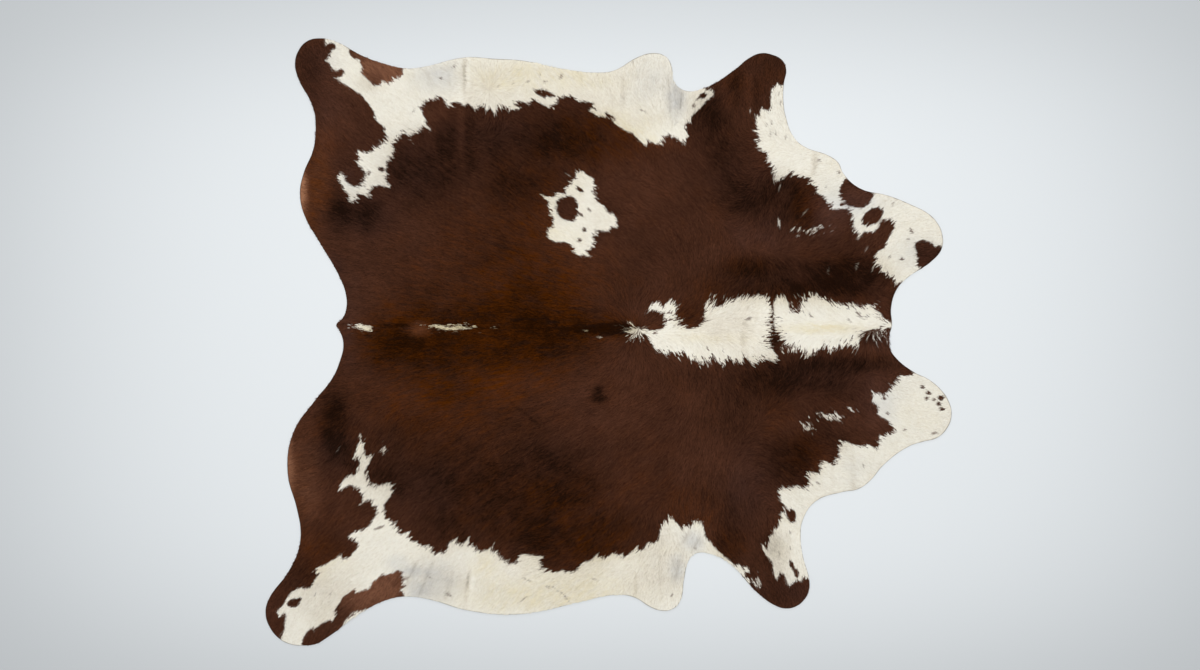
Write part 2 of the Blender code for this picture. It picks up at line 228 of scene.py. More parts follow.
# Small flecks: x, y, length, width, and the heading of the length in degrees. Dark ones lie on the
# white, and white ones on the brown. The finer a fleck is, the more of the other hair shows in it.
DARK_FLECKS = [
    # left belly and hind leg
    (-93.2, 99, 3.4, 2.6, 0), (-90, 90.2, 3, 2.4, 40), (-80.4, 56.6, 1.4, 1, 30), (-76.2, 58, 2, 1.4, 0),
    (-65.4, 77.6, 1.4, 0.5, 70), (-56.2, 88.5, 1.2, 0.9, 0), (-51.8, 92.6, 2.1, 0.6, 50),
    (-48, 94.6, 1, 0.5, 0), (-36.8, 85.6, 1.2, 0.4, 30), (-31.8, 86.7, 1.2, 0.4, 30),
    (-27, 87.5, 1.6, 0.4, 30), (-23.1, 89.6, 1.2, 0.4, 80), (-21.2, 87.3, 1.8, 0.5, 20),
    (-16, 89.1, 2, 0.6, 45), (6.3, 84.4, 1.2, 0.4, 20), (8.1, 93.8, 1.8, 0.5, 45),
    (11.6, 77.6, 2.2, 0.6, 160), (13.1, 96.4, 2.4, 0.4, 5), (22.7, 73.5, 1.2, 0.4, 30),
    (28.7, 79.4, 1.3, 1, 0), (30.6, 82, 3.1, 0.9, 35), (31.8, 82.7, 2.6, 2, 30),
    (33.3, 85.2, 2.1, 1.6, 0),
    # left neck and fore leg
    (53, 72.9, 1.4, 0.5, 70), (54.2, 69.6, 1.4, 0.5, 70), (54.6, 73.5, 1.4, 0.5, 70),
    (55.9, 70, 1.4, 0.5, 70), (57.1, 83.3, 1.4, 0.5, 70), (57.5, 80.2, 1.4, 0.5, 70),
    (59.4, 68.7, 1.4, 0.5, 70), (70.5, 60.8, 1.3, 0.7, 0), (72.8, 51.9, 1.4, 0.5, 70),
    (77.3, 56.7, 1.4, 0.7, -30), (78, 46, 1.6, 1.3, 0), (94.2, 28.3, 1.2, 0.6, 0),
    (95.3, 46.3, 1.4, 0.5, 70), (98.4, 27.7, 1.3, 1, 0), (100.4, 34.4, 1.4, 0.6, 0),
    (101.4, 37.3, 2.2, 0.9, -65),
    # on the blaze
    (15.9, 2.9, 1.8, 1, 20), (33.4, -2.5, 1.6, 0.8, 120), (38.4, -2.9, 1.4, 0.6, 110),
    (47, 7.7, 2.5, 0.8, 20), (67.4, 9.3, 1.3, 0.6, 100), (80.6, 7.1, 1.3, 0.7, 120),
    (83.8, 9.3, 3.5, 0.9, 130),
    # on the star
    (-9.9, 51.3, 2.8, 1.4, -40), (-9.8, 34.1, 1.5, 1.2, 90), (-9.3, 42.7, 2.2, 1.1, -45),
    (-8.2, 37.6, 1.6, 1.5, 90), (-6.5, 44.4, 1.4, 0.8, -50),
    # right neck and fore leg
    (57.3, -71, 1.4, 0.5, 110), (60.9, -63.8, 1.4, 0.5, 110), (61, -69.3, 1.4, 0.5, 110),
    (61.6, -75.2, 4, 1.5, 112), (63, -77.6, 3.2, 1.7, 105), (70.2, -47.2, 1.5, 0.6, -40),
    (85.3, -41.5, 1.4, 0.6, 100), (92.2, -18.9, 1.4, 1.2, 0), (93.5, -23.8, 1.3, 0.9, 110),
    (94.3, -31.2, 1.2, 0.4, 60), (99.1, -29.5, 1.3, 0.7, 60), (105.2, -15.2, 1.3, 1.2, 0),
    (106.6, -18.9, 1.4, 1.2, 0), (107.3, -17.1, 1.4, 1.3, 0), (109.1, -19.3, 1.2, 0.9, 0),
    (109.2, -30.6, 2.1, 0.8, 20), (110.6, -20.6, 1.6, 1.3, 0), (111.4, -18.8, 2.2, 1.8, 0),
    (111.7, -22.4, 1.7, 1.4, 0),
    # right belly and hind leg
    (-105.6, -87.6, 4.6, 3, 20), (-103.8, -86.8, 2.6, 1.3, 60), (-98.4, -84.8, 1.4, 0.5, 60),
    (-93.3, -84.6, 1.4, 0.5, 0), (-77, -62.4, 3.7, 0.8, 20), (-67.3, -79.2, 1.6, 0.4, 40),
    (-60, -79, 1.8, 0.4, -30), (-53.9, -84.7, 3, 0.6, -25), (-28.5, -86.2, 3.2, 0.4, 35),
    (-27.6, -79.7, 2.8, 0.5, -25), (-20.3, -82.2, 1.4, 0.5, -30), (-17.4, -83.2, 5.5, 0.4, -31),
    (-14.3, -85.8, 3.5, 0.4, -51), (-5.1, -79.5, 1.8, 0.4, -15), (21.2, -85, 1.3, 0.6, 60),
    (29.3, -69.3, 1.4, 0.4, 0), (47.3, -78.2, 3.1, 2.3, 0),
]
WHITE_FLECKS = [
    (57.3, 51.7, 2, 0.3, 80), (65.7, 43.3, 2, 0.25, 50), (83.2, 25.4, 2.2, 0.35, 75),
    (88.6, 24.6, 2.6, 0.4, 60), (86.3, 31, 1.2, 0.2, 60), (50.5, -80.4, 2.6, 0.7, -70),
    (-83.3, -31.8, 1.8, 0.7, 90), (-75.6, -36, 1.9, 0.7, 60), (-90.7, -36.2, 1.6, 0.25, 70),
    (-68, 72.2, 2.2, 0.5, 130), (73.6, 24, 1.6, 0.3, 80), (47.5, 77.5, 1.6, 0.3, 90),
    (-3.2, 1.6, 1.4, 0.5, 170), (-7.7, 3.7, 1.2, 0.4, 170), (-13.6, 56, 1.8, 0.25, 150),
    (57.2, 39.8, 3, 0.7, 97),
]
# Soft oval areas of single odd locks: x, y, half width, half height, and the share of them. Brown ones
# in the white, and white ones in the brown.
SPARSE = [
    (12.5, 5, 3, 1.6, 0.4), (8.8, 3.6, 4, 2, 0.3), (20.8, 9, 1.2, 4, 0.3), (15, 12.2, 3, 1.2, 0.35),
    (33.6, 12.5, 1.4, 2, 0.35), (87.5, 3, 4.5, 1.6, 0.5), (-52, 5, 9, 1.5, 0.5), (93, 5, 3, 3, 0.35),
    (46, -77, 4, 3, 0.4), (-87, -91, 5, 3, 0.35), (37, 12.6, 3, 1.6, 0.4), (62, 11, 3, 2, 0.3),
    (52, -6, 6, 1.6, 0.35), (68, -4, 8, 1.6, 0.35), (-68, 70, 4, 3, 0.3), (-84, 56, 4, 6, 0.15),
    (90, 8.8, 4, 2.4, 0.34),
]
WISPS = [
    (8.6, 1.4, 3, 1.8, 0.5), (6.4, 5.8, 2.6, 1.8, 0.35), (12, 1, 1.6, 2, 0.3),
    (90.2, 1.2, 3.6, 2.4, 0.36), (-52, 5, 11, 1.4, 0.3), (-84, 5, 5, 1.4, 0.3),
    (64.2, 36.9, 3.6, 1.8, 0.36), (71, 38, 3, 1.4, 0.38), (66.8, -27.8, 2.6, 2.3, 0.55),
    (74.5, -25, 4.6, 1.7, 0.52), (81.2, -22.4, 2, 1, 0.42), (49.5, -80.5, 2.4, 2.6, 0.35),
    (36, 14.6, 2.6, 1.4, 0.2), (62.4, 13, 2.6, 2, 0.16), (-66, 71, 4, 3, 0.3),
    (-75.6, -36, 1.4, 1.6, 0.4), (88, 10.8, 4, 2, 0.42), (60.5, -2.6, 2.4, 1.6, 0.45),
]

# Which way the hair lies: x, y and heading in degrees, to where its tips point.
FLOW = {
    "back": [
        (-85, 5, 180), (-60, 5, 180), (-35, 5, 180), (-10, 5, 180), (-85, 20, 170), (-60, 25, 165),
        (-35, 25, 163), (-10, 25, 160), (15, 25, 150),
    ],
    "left flank": [
        (-60, 55, 150), (-35, 55, 145), (-15, 45, 150), (10, 50, 150), (-60, 75, 135), (-45, 78, 105),
        (-30, 79, 150), (-10, 80, 150), (5, 73, 140), (15, 67, 125), (25, 70, 110), (-40, 90, 100),
        (-20, 90, 130), (0, 85, 120), (14, 90, 90), (22, 80, 95),
    ],
    "left hind leg": [
        (-95, 70, 130), (-100, 90, 125), (-92, 88, 150), (-80, 90, 140), (-75, 75, 135), (-85, 55, 150),
        (-100, 50, 170), (-70, 90, 130),
    ],
    "left fore leg": [
        (31, 82, 50), (38, 85, 60), (50, 92, 80), (55, 88, 95), (45, 75, 95), (51, 78, 100),
        (50, 68, 170), (56, 60, 200), (56, 53, 255), (40, 60, 140), (60, 70, 120),
    ],
    "left neck": [
        (68, 60, 200), (78, 50, 195), (84, 47, 200), (88, 42, 230), (84, 36, 228), (92, 36, 225),
        (100, 30, 190), (105, 38, 190), (110, 35, 190), (95, 24, 240), (72, 38, 215), (63, 37, 225),
        (57, 40, 260),
    ],
    "blaze": [
        (14, 12, 60), (20, 12, 60), (33, 13, 58), (45, 14, 50), (50, 15, 55), (20, 5, 10), (35, 4, 0),
        (50, 5, 0), (18, -3, -65), (27, -4, -72), (36, -5, -65), (45, -5, -62), (48, -7, -60),
        (56, -5, -35), (53, 9, 10), (53, 2, 0), (57, 14, 100), (62, 13, 115), (68, 14, 110),
        (74, 12, 125), (82, 12, 130), (88, 11, 130), (92, 8, 150), (58, 8, 165), (60, 4, 180),
        (75, 5, 178), (88, 5, 178), (62, -2, -100), (67, -4, -105), (74, -3, -100), (82, -1, -110),
        (92, -1, -60), (90, 3, -50),
    ],
    "beside the blaze": [
        (30, 22, 90), (60, 22, 130), (80, 20, 130), (30, -14, -100), (60, -14, -130), (80, -12, -130),
    ],
    "right flank": [
        (-85, -10, 190), (-60, -15, 193), (-35, -15, 195), (-10, -15, 200), (15, -20, 210),
        (-60, -45, 210), (-35, -50, 212), (-10, -50, 210), (15, -50, 215), (-60, -68, 222),
        (-47, -68, 235), (-38, -70, 225), (-25, -72, 195), (-12, -75, 205), (0, -72, 222), (12, -68, 230),
        (20, -61, 285), (24, -62, 300), (30, -62, 250), (-35, -85, 230), (-10, -82, 215), (15, -82, 250),
        (25, -70, 260), (36, -69, 310), (45, -76, 312),
    ],
    "right hind leg": [
        (-90, -70, 222), (-77, -62, 225), (-105, -80, 228), (-110, -92, 235), (-85, -85, 225),
        (-73, -80, 230), (-83, -40, 240), (-88, -48, 228), (-103, -45, 195), (-75, -36, 235),
    ],
    "right fore leg": [(52, -69, 302), (58, -60, 285), (60, -80, 282), (55, -85, 300), (48, -60, 290)],
    "right neck": [
        (67, -28, 125), (75, -25, 132), (81, -22, 140), (80, -34, 150), (76, -39, 175), (89, -18, 125),
        (95, -28, 150), (105, -20, 165), (110, -28, 170), (85, -42, 150), (70, -46, 140), (60, -52, 140),
        (60, -58, 110),
    ],
}
WHORLS = [(10, 4), (-40, 85)]  # where the hair parts and runs out all round
WHORL_REACH = (2.5, 5.5)

# Tints of the coat: x, y, half width, half height, how strong. In each place the widest shades come first,
# and negative ones are lighter hair. Cool and warm turn brown hair plum or orange, and white hair grey or
# cream.
SHADE = [
    # along the spine
    (-42, 6, 34, 13, 0.62), (-30, -4, 24, 8, 0.15), (62, -11, 24, 7, 0.72), (-14, 3, 18, 9, 0.45),
    (-62, -10, 22, 7, 0.3), (-71, -1, 17, 8, 0.7), (40, 5, 14, 9, 0.32), (-32, -7, 20, 6, 0.2),
    (74, -6.5, 18, 3, 0.35), (-88, -4, 4, 10, -0.1), (86, -14, 8, 4, -0.2), (86, -8, 10, 3, 0.5),
    (29, -12, 6, 5, 0.35), (27.3, 9.5, 5, 5, 0.3), (32, -9, 6, 4, 0.2), (2, 4.4, 8, 2.4, 0.9),
    (88, 1.5, 5, 3, 0.5), (0, 4.4, 8, 1.8, 0.8), (-63.6, 4.3, 4.4, 2.8, -0.75),
    (56.2, 0.5, 2.2, 4.5, 0.6), (-9, 4.2, 6, 0.9, 0.6), (55, 9, 0.9, 6, 0.5), (-71, 5.6, 7, 0.5, 0.5),
    # left flank and hind leg
    (-48, 30, 26, 16, 0.22), (-20, 88, 45, 8, 0.16), (-38, 66, 22, 14, 0.6), (-12, 70, 18, 10, 0.68),
    (-64, 58, 14, 12, 0.66), (12, 80, 12, 14, 0.12), (-36, 50, 20, 8, 0.22), (-30, 30, 12, 12, 0.2),
    (-25, 53, 18, 8, 0.25), (-24, 18, 14, 7, 0.25), (-84, 43, 13, 7, 0.72), (-4, 61, 10, 9, 0.2),
    (-92, 80, 8, 10, -0.12), (14, 32, 8, 8, 0.12), (-2, 43, 7, 9, 0.14), (-66, 45, 8, 6, 0.15),
    (-77, 91, 9, 5, -0.15), (-100, 92, 4, 9, 0.25), (-95, 67, 4, 9, -0.45), (19, 68, 8, 4, -0.35),
    # the narrow upright rows between x -56 and -46 are painted shade and a painted highlight over ripples
    (-90.5, 44, 4, 8, 0.3), (-58, 77, 7, 4, -0.25), (-92, 41, 3, 9, 0.2), (-46.3, 69, 2, 13, 0.3),
    (-52.6, 67, 1.8, 13, 0.25), (22.5, 82, 3, 7, 0.25), (-14, 44.6, 4, 5, 0.15), (-80, 88, 5, 4, 0.5),
    (-71, 60, 4, 5, 0.35), (-103.2, 50.5, 2.2, 8, -1), (-49.4, 70, 1.4, 12, -0.3),
    (-56, 66, 1.4, 10, 0.15), (-40.5, 86.5, 2.8, 2.8, 0.25), (-40.5, 86.5, 1.3, 1.3, -0.3),
    # left neck and fore leg
    (62, 22, 30, 7, 0.72), (72, 16, 28, 4.5, 0.35), (60, 17, 30, 4, 0.25), (39, 61, 9, 13, 0.55),
    (52, 49, 13, 9, 0.72), (47, 80, 6, 14, 0.15), (43, 47, 10, 7, 0.25), (34, 76, 7, 10, 0.75),
    (64, 39.5, 14, 5, 0.5), (82, 27, 12, 5, 0.35), (80, 22, 12, 5, 0.4), (74, 33, 12, 4, 0.3),
    (46, 25, 10, 4, 0.3), (75, 42, 6, 6, -0.6), (54, 93, 7, 5, 0.25), (64, 49, 5, 7, 0.35),
    # the narrow upright rows between x 43 and 50 are painted shade and a painted highlight over ripples
    (84, 48, 6, 5, -0.4), (90, 20, 5, 5, 0.3), (43, 86, 2.6, 9, 0.55), (107, 30, 5, 4, 0.35),
    (60, 53, 5, 3, 0.45), (47, 84, 1.4, 9, -0.15), (41, 87, 3, 4, 0.3), (49.5, 84, 1.2, 6, 0.25),
    # right flank and hind leg
    (-35, -48, 46, 22, 0.2), (-28, -50, 34, 16, 0.45), (-40, -25, 34, 14, 0.25), (-15, -82, 50, 9, 0.16),
    (-16, -68, 22, 9, 0.55), (-58, -48, 14, 12, 0.4), (-95, -85, 15, 10, 0.36), (-40, -64, 22, 6, 0.2),
    (-74, -30, 14, 9, 0.25), (18, -72, 10, 12, 0.3), (-12, -48, 10, 10, 0.2), (-26, -42, 14, 7, 0.2),
    (-91.8, -29.5, 5.8, 14, 1.1), (2, -62, 10, 8, 0.3), (-58, -80, 10, 7, 0.25), (-83, -42, 6, 10, 0.4),
    (-76, -82, 9, 6, -0.2), (-72, -45, 6, 9, 0.22), (-56, -62, 8, 6, 0.15), (-72, -34, 7, 6, 0.35),
    (-104, -77, 7, 6, 0.35), (-74, -44, 6, 6, 0.3), (-107, -44, 2.5, 12, -0.35), (-93, -66, 5, 5, 0.25),
    (-96, -96, 5, 5, 0.2), (-99, -38, 4, 6, 0.15), (-100, -54, 4, 6, -0.35), (-80, -55, 5, 4, 0.2),
    (-3.6, -18.9, 3, 1.9, 0.95), (-29.7, -22.8, 6, 0.7, 0.35), (-3.4, -16, 1.9, 1.5, 0.95),
    # right neck and fore leg
    (50, -20, 16, 10, 0.4), (60, -40, 9, 9, 0.75), (46, -56, 8, 8, 0.2), (72, -33, 10, 6, 0.6),
    (48, -33, 10, 6, 0.25), (56, -71.5, 6, 10, 0.5), (40, -66, 6, 9, 0.6), (79, -16, 9, 5, 0.4),
    (57, -84, 8, 5, 0.2), (36, -50, 6, 6, 0.25), (54, -68, 5, 7, 0.25), (39, -28, 8, 4, 0.35),
    (90, -15, 5, 6, -0.3), (68, -24, 6, 4, 0.2), (90, -26, 4, 4, -0.3),
]
GOLD_AREAS = [
    (-103.2, 51, 2.3, 10, 1), (-98, 53, 4.5, 14, 0.16), (-107.6, -42, 2, 13, 0.9),
    (-102, -46, 6, 15, 0.36), (-77, 91, 12, 8, 1.1), (-72, 89.5, 6, 6, 0.5), (-82, -84, 14, 9, 1),
    (-72, -80, 6, 6, 0.5), (-95, -95, 8, 5, 0.15), (-63.6, 4.3, 4.5, 2.8, 0.35),
]
COOL_AREAS = [
    (-82, 42, 12, 8, 0.6), (-66, 58, 12, 12, 0.5), (-35, 70, 28, 6, 0.3), (-96, 84, 8, 16, 0.35),
    (-88, 72, 10, 12, 0.25), (-86, 55, 4, 4, 0.6), (-88, 14, 6, 14, 0.4), (-92, 27, 4, 5, 0.5),
    (-88, -3, 4, 8, 0.4), (-92, -36, 6, 8, 0.6), (-62, -50, 12, 8, 0.4), (46, -48, 9, 14, 0.6),
    (70, -12, 24, 6, 0.3), (90, -20, 8, 12, 0.5), (75, 43, 9, 8, 0.7), (50, 36, 14, 7, 0.5),
    (84, 48, 6, 5, 0.6), (44, 54, 14, 10, 0.2), (-15, 44, 4, 5, 0.4), (34, 82, 8, 4, 0.2),
    (104, 30, 8, 6, 0.4), (62, -84, 8, 5, 0.4), (-98, 96, 8, 6, 0.2),
    # on white
    (-57, 89, 9, 6, 0.6), (-60, -80, 11, 8, 0.6), (-65, -77, 6, 1.6, 0.4), (23, -76, 3, 5, 0.7),
    (28.5, -67, 4, 4, 0.75), (22.5, 81.5, 3.6, 7.5, 0.8), (91, 0, 5, 3.5, 0.5), (14, 88, 7, 8, 0.35),
    (-71, -74, 4, 3, 0.4), (-64, -84, 4, 3, 0.4), (82, -44, 4, 6, 0.2), (88, 46, 14, 3, 0.15),
    (50, -84, 4, 4, 0.3),
]
WARM_AREAS = [
    (-32, 5, 30, 14, 1.2), (-70, 0, 18, 9, 1), (-44, -12, 28, 9, 0.6), (-22, 22, 20, 11, 0.5),
    (-60, -22, 24, 11, 0.5), (-36, 34, 22, 14, 0.38), (-60, 22, 18, 10, 0.18), (-25, 50, 14, 13, 0.4),
    (-6, 69, 22, 10, 0.6), (-98.5, 52, 5.5, 16, 0.6), (-105, -52, 9, 22, 0.25), (46, 25, 9, 4, 0.35),
    (66, 46, 5, 8, 0.8), (42, 86, 6, 6, 0.25), (52, 88, 8, 6, 0.15), (66, -38, 9, 7, 0.5),
    (54, -25, 10, 6, 0.15), (28, -56, 10, 7, 0.35), (-8, -66, 20, 12, 0.55), (-14, -50, 14, 8, 0.35),
    (-35, -55, 20, 14, 0.3), (-48, -36, 20, 10, 0.2), (10, -45, 12, 14, 0.15), (40, -68, 8, 6, 0.3),
    (-97, -72, 9, 9, 0.35), (3, 5, 8, 4, 0.5), (76, 26, 12, 5, 0.2), (2, 22, 8, 8, 0.1),
    (27, 9, 6, 6, 0.4), (10, 68, 8, 5, 0.2), (-8, 4, 14, 5, 0.35), (-94, -28, 6, 8, 0.3),
    (-32, -24, 20, 9, 0.15), (34, 18, 7, 6, 0.25), (50, -12, 10, 8, 0.2), (-94, 68, 7, 8, 0.2),
    (60, 16, 32, 5, 0.2), (-70, 11, 10, 5, 0.4),
    # on white
    (72, 4.5, 15, 2, 0.8), (-25, 89, 26, 6, 0.55), (-20, -85, 30, 7, 0.65), (35, 1, 14, 2, 0.4),
    (-42, -75, 5, 4, 0.5), (103, -24, 9, 8, 0.15), (-67, 90, 2, 3, 0.3),
]

# Folds left in the leather: from x, y to x, y, then half width, height, and the painted shade along it,
# which darkens the hair (a negative one is a painted highlight). A negative height is a trough.
CREASES = [
    (-48.3, 96, -48.2, 82, 0.8, 0.38, 0.7), (-46.8, 95, -46.6, 85, 0.7, -0.1, -0.4),
    (-48, 83, -47.4, 30, 1, 0.12, 0.15), (-47.6, 30, -47.4, -66, 1, 0.08, 0.07),
    (-46.6, -75, -48.3, -91, 0.8, 0.36, 0.65), (-45.2, -78, -46.6, -90, 0.7, -0.1, -0.4),
    (-86, 4.9, 6, 4.3, 0.5, 0, 0.3), (4.7, 92, 4.9, 78, 1.3, 0.24, 0.35),
    (9.2, -88, 9, -77, 1.2, 0.24, 0.35), (17.5, -89, 17, -70, 1, 0.16, 0.2),
    (69, 65, 68.7, 55, 1.4, 0.26, 0.6), (82.3, -51, 81.8, -37, 1.5, 0.26, 0.5),
    (75.5, -50, 75, -40, 1, 0.12, 0.2), (21.4, 87, 21.7, 75, 0.7, 0.3, -0.4),
    (20, 90, 20.6, 77, 0.7, 0.12, 0.5), (25, 86, 23.6, 77, 0.7, -0.16, 0.45),
    (22.2, -80, 24, -72.5, 0.8, 0.22, 0.5), (27.8, -70.5, 31, -65, 0.9, 0.22, 0.5),
    (24.5, -68, 27.5, -63, 0.8, -0.1, 0.4), (-62, 92.5, -58, 84, 1, 0.22, 0.35),
    (-54, 94, -53, 85, 0.7, 0.15, 0.25), (-64, -86, -58, -72, 1, 0.24, 0.45),
    (-69, -84, -64, -73, 0.9, -0.15, 0.4), (-55, -87, -52, -76, 0.8, 0.12, 0.3),
    (-3, 60, -6, -60, 1.6, 0.06, 0.04), (-34, -19.5, -22, -29, 0.6, -0.12, 0.5),
    (-39, -36, -33, -47, 0.6, 0.05, -0.4), (-71, 78, -66, 70, 0.9, 0.12, 0.1),
    (46, 14, 45, -6, 1.4, 0.1, 0.25),
]

# How uneven each tint is: its areas, the middle and swing of its strength, the size of its lumps in
# centimetres and a seed.
TINTS = {
    "gold": (GOLD_AREAS, 0.9, 0.4, 3.0, 57),
    "cool": (COOL_AREAS, 0.95, 0.3, 2.5, 61),
    "warm": (WARM_AREAS, 0.9, 0.4, 3.0, 63),
    "shade": (SHADE, 0.95, 0.3, 3.5, 67),
}
MID_TONE = 0.475  # of plain hair, from 0, in shade, to 1

# Where white and brown hair meet. Lengths are in centimetres.
BORDER = 0.35  # over which white gives way to brown
FLECK_BORDER = 0.2  # the same round a fleck
FINEST_FLECK = 0.2  # how much of its own hair a fleck of no width would show
FLECK_GAIN = 0.65  # how much more of it shows for each centimetre of width
ODD_BROWN = 0.9  # how brown an odd lock on the white is
ODD_WHITE = 0.85  # how white an odd lock on the brown is
ODD_BORDER = 0.12  # the span of the dice over which an odd lock gives way to its neighbours
FAR = 6.0  # from a marking's border, past which the distance isn't worked out

# How much is worked out at once, so that the memory stays small.
PAIRS_AT_ONCE = 1_500_000  # of a point and a corner of a marking
POINTS_AT_ONCE = 5000  # of the hair's run

# How the leather lies on the floor, in centimetres.
RIPPLE = 0.06  # half the height of its wide low ripples
CURL = 0.16  # how far its edge curls up in places
CURL_REACH = 5.0  # how far in from the edge a curl dies away
MOST_LIFT = 0.55  # of ripples, curls and folds together

# Length of the hair, in centimetres: the usual one, plus LONGER, minus SHORTER. Their rows are soft oval
# areas: x, y, half width, half height, and the change of length.
COAT_LENGTH = 1.7
LEAST_LENGTH, MOST_LENGTH = 0.8, 3.4  # of the locks, before each gets its own share
LONGER = [(34, 4, 26, 11, 1.3), (75, 5, 22, 10, 1.2), (90, 3, 7, 9, 0.6), (-90, 6, 5, 6, 0.8)]
SHORTER = [
    (55.3, 5, 2.6, 10, 1.5), (15.8, 7.3, 4, 4, 0.5), (27.5, 9.5, 6, 6, 1.0), (-97, 92, 12, 12, 0.8),
    (-108, -92, 12, 12, 0.8), (50, 88, 14, 12, 0.7), (58, -80, 13, 12, 0.7), (105, 36, 12, 12, 0.5),
    (107, -22, 12, 12, 0.5), (14, 92, 12, 8, 0.4), (20, -84, 12, 8, 0.4),
]

# A lock of hair is a leaf of three triangles with two corners at its foot, two at its waist and one at its
# tip. The spreads are the least and most that its length, width and height are multiplied by.
ROOT_JITTER = 0.62  # how far a root strays from its grid, in steps of the grid
ROOT_MARGIN = 0.22  # centimetres from the cut edge to the first roots
BARE_RIM = 0.17  # centimetres from the cut edge at which the locks end
LENGTH_SPREAD = (0.75, 1.2)
WIDTH_SPREAD = (0.75, 1.3)
HEIGHT_SPREAD = (0.7, 1.25)
MOST_BEND = 0.16  # how far sideways a tip swings, as a share of the lock's length
MOST_ROLL = 0.45  # how far a lock leans over, in radians
WAIST = 0.45  # how far along a lock its waist is
SEEN_AT = 0.55  # how far along a lock its colour is read from the markings
FOOT_WIDTH = 0.42  # half the foot's width, as a share of the lock's
FOOT_SINK = 0.02  # centimetres that the foot is sunk into the skin
TIP_HEIGHT = 0.62  # the tip's height, as a share of the waist's
TIP_LIGHT_OVER_FOOT_SHADE = 0.16  # how much lighter in tone a tip is than a foot: painted light at the tip, painted shade at the foot
LOCK_FACES = [0, 1, 3, 0, 3, 2, 2, 3, 4]  # the corners of its triangles: 0 and 1 at the foot, 4 the tip
GRAIN_LENGTH = 2  # how much of the grain lies along a lock, in the grain's own units
GRAIN_SPAN = (7.3, 31.0)  # how far apart, across and along, locks may read the grain
EDGE_BAND = 0.3  # centimetres over which the skin's bare rim, with its painted edge shadow, fades in towards the cut edge

# The studio, in metres.
FLOOR_SIZE = 60
LIT_OVAL_HALF = (1.95, 1.0)  # half the size of the oval of painted light on the floor
FALLOFF_DIM = 0.79  # the floor's lightness outside it, a painted falloff of the light
SOFTBOXES = [  # name, place, size, power in watts and colour
    ("overhead_softbox", (0.0, 0.3, 4.6), (5.0, 1.6), 193, "FFFEFA"),
    ("window_softbox", (0.6, 4.6, 3.0), (3.0, 1.2), 32, "FAFCFF"),
]
CAMERA_OVER = (-2.85 * CM, 2.31 * CM)  # the spot straight below the camera


def linear(code):
    """An sRGB hex colour as the linear one that shaders take."""
    parts = [int(code[i:i + 2], 16) / 255 for i in (0, 2, 4)]
    return tuple(c / 12.92 if c <= 0.04045 else ((c + 0.055) / 1.055) ** 2.4 for c in parts) + (1.0,)


# ---------------------------------------------------------------- settings

class CowhideSettings(bpy.types.PropertyGroup):
    """Sizes and colours of the rug."""

    skin_thickness: bpy.props.FloatProperty(
        name="Skin thickness", description="The tanned leather without its hair",
        default=2 * MM, unit="LENGTH")
    skin_grid: bpy.props.FloatProperty(
        name="Skin grid", description="Spacing of the skin's points, which its creases bend",
        default=12 * MM, unit="LENGTH")
    lock_gap: bpy.props.FloatProperty(
        name="Lock spacing", description="Distance between the roots of two locks of hair",
        default=3.48 * MM, unit="LENGTH")
    lock_width: bpy.props.FloatProperty(
        name="Lock width", description="Width of a lock of hair where it is widest",
        default=2.3 * MM, unit="LENGTH")
    coat_height: bpy.props.FloatProperty(
        name="Coat height", description="How high the hair stands off the skin",
        default=3.4 * MM, unit="LENGTH")
    brown: bpy.props.FloatVectorProperty(
        name="Brown", description="Most of the coat",
        size=4, subtype="COLOR", default=linear("492B1E"), min=0, max=1)
    # the shaded end of the brown ramp: painted shade at the roots, and the neck's own dark hair
    brown_deep: bpy.props.FloatVectorProperty(
        name="Deep brown", description="The darkest hair, at the roots and on the neck",
        size=4, subtype="COLOR", default=linear("1A0C07"), min=0, max=1)
    brown_light: bpy.props.FloatVectorProperty(
        name="Light brown", description="Hair tips that catch the light",
        size=4, subtype="COLOR", default=linear("663F2E"), min=0, max=1)
    orange: bpy.props.FloatVectorProperty(
        name="Orange brown", description="The warmer hair along the back",
        size=4, subtype="COLOR", default=linear("512604"), min=0, max=1)
    plum: bpy.props.FloatVectorProperty(
        name="Plum brown", description="The cooler hair of the flanks and neck",
        size=4, subtype="COLOR", default=linear("452C25"), min=0, max=1)
    gold: bpy.props.FloatVectorProperty(
        name="Golden brown", description="The bleached hair at the rump and the edges",
        size=4, subtype="COLOR", default=linear("754D3A"), min=0, max=1)
    white: bpy.props.FloatVectorProperty(
        name="White", description="The white markings",
        size=4, subtype="COLOR", default=linear("F3EFE4"), min=0, max=1)
    # the shaded end of the white ramp: painted shade at the roots
    white_deep: bpy.props.FloatVectorProperty(
        name="White roots", description="White hair down at the skin",
        size=4, subtype="COLOR", default=linear("A8A093"), min=0, max=1)
    white_cool: bpy.props.FloatVectorProperty(
        name="Cool white", description="Thin white hair with the skin showing through",
        size=4, subtype="COLOR", default=linear("D5D4D2"), min=0, max=1)
    suede: bpy.props.FloatVectorProperty(
        name="Suede", description="The flesh side of the leather and its cut edge",
        size=4, subtype="COLOR", default=linear("A89078"), min=0, max=1)
    floor: bpy.props.FloatVectorProperty(
        name="Floor", description="The plain studio floor",
        size=4, subtype="COLOR", default=linear("E4E8EC"), min=0, max=1)
    lens: bpy.props.FloatProperty(
        name="Lens", description="Focal length of the camera on a 36 mm sensor",
        default=50.0, unit="CAMERA")
    camera_height: bpy.props.FloatProperty(
        name="Camera height", description="Height of the camera over the floor",
        default=5.592, unit="LENGTH")


# ---------------------------------------------------------------- numbers over the hide
# Points are in centimetres, as in the tables.

def lattice(i, j, seed):
    """A repeatable number from 0 to 1 for each crossing of a square grid."""
    n = (i * 374761393 + j * 668265263 + seed * 974634777) & 0xFFFFFFFF
    n = ((n ^ (n >> 13)) * 1103515245) & 0xFFFFFFFF
    return (n ^ (n >> 16)) / 0xFFFFFFFF


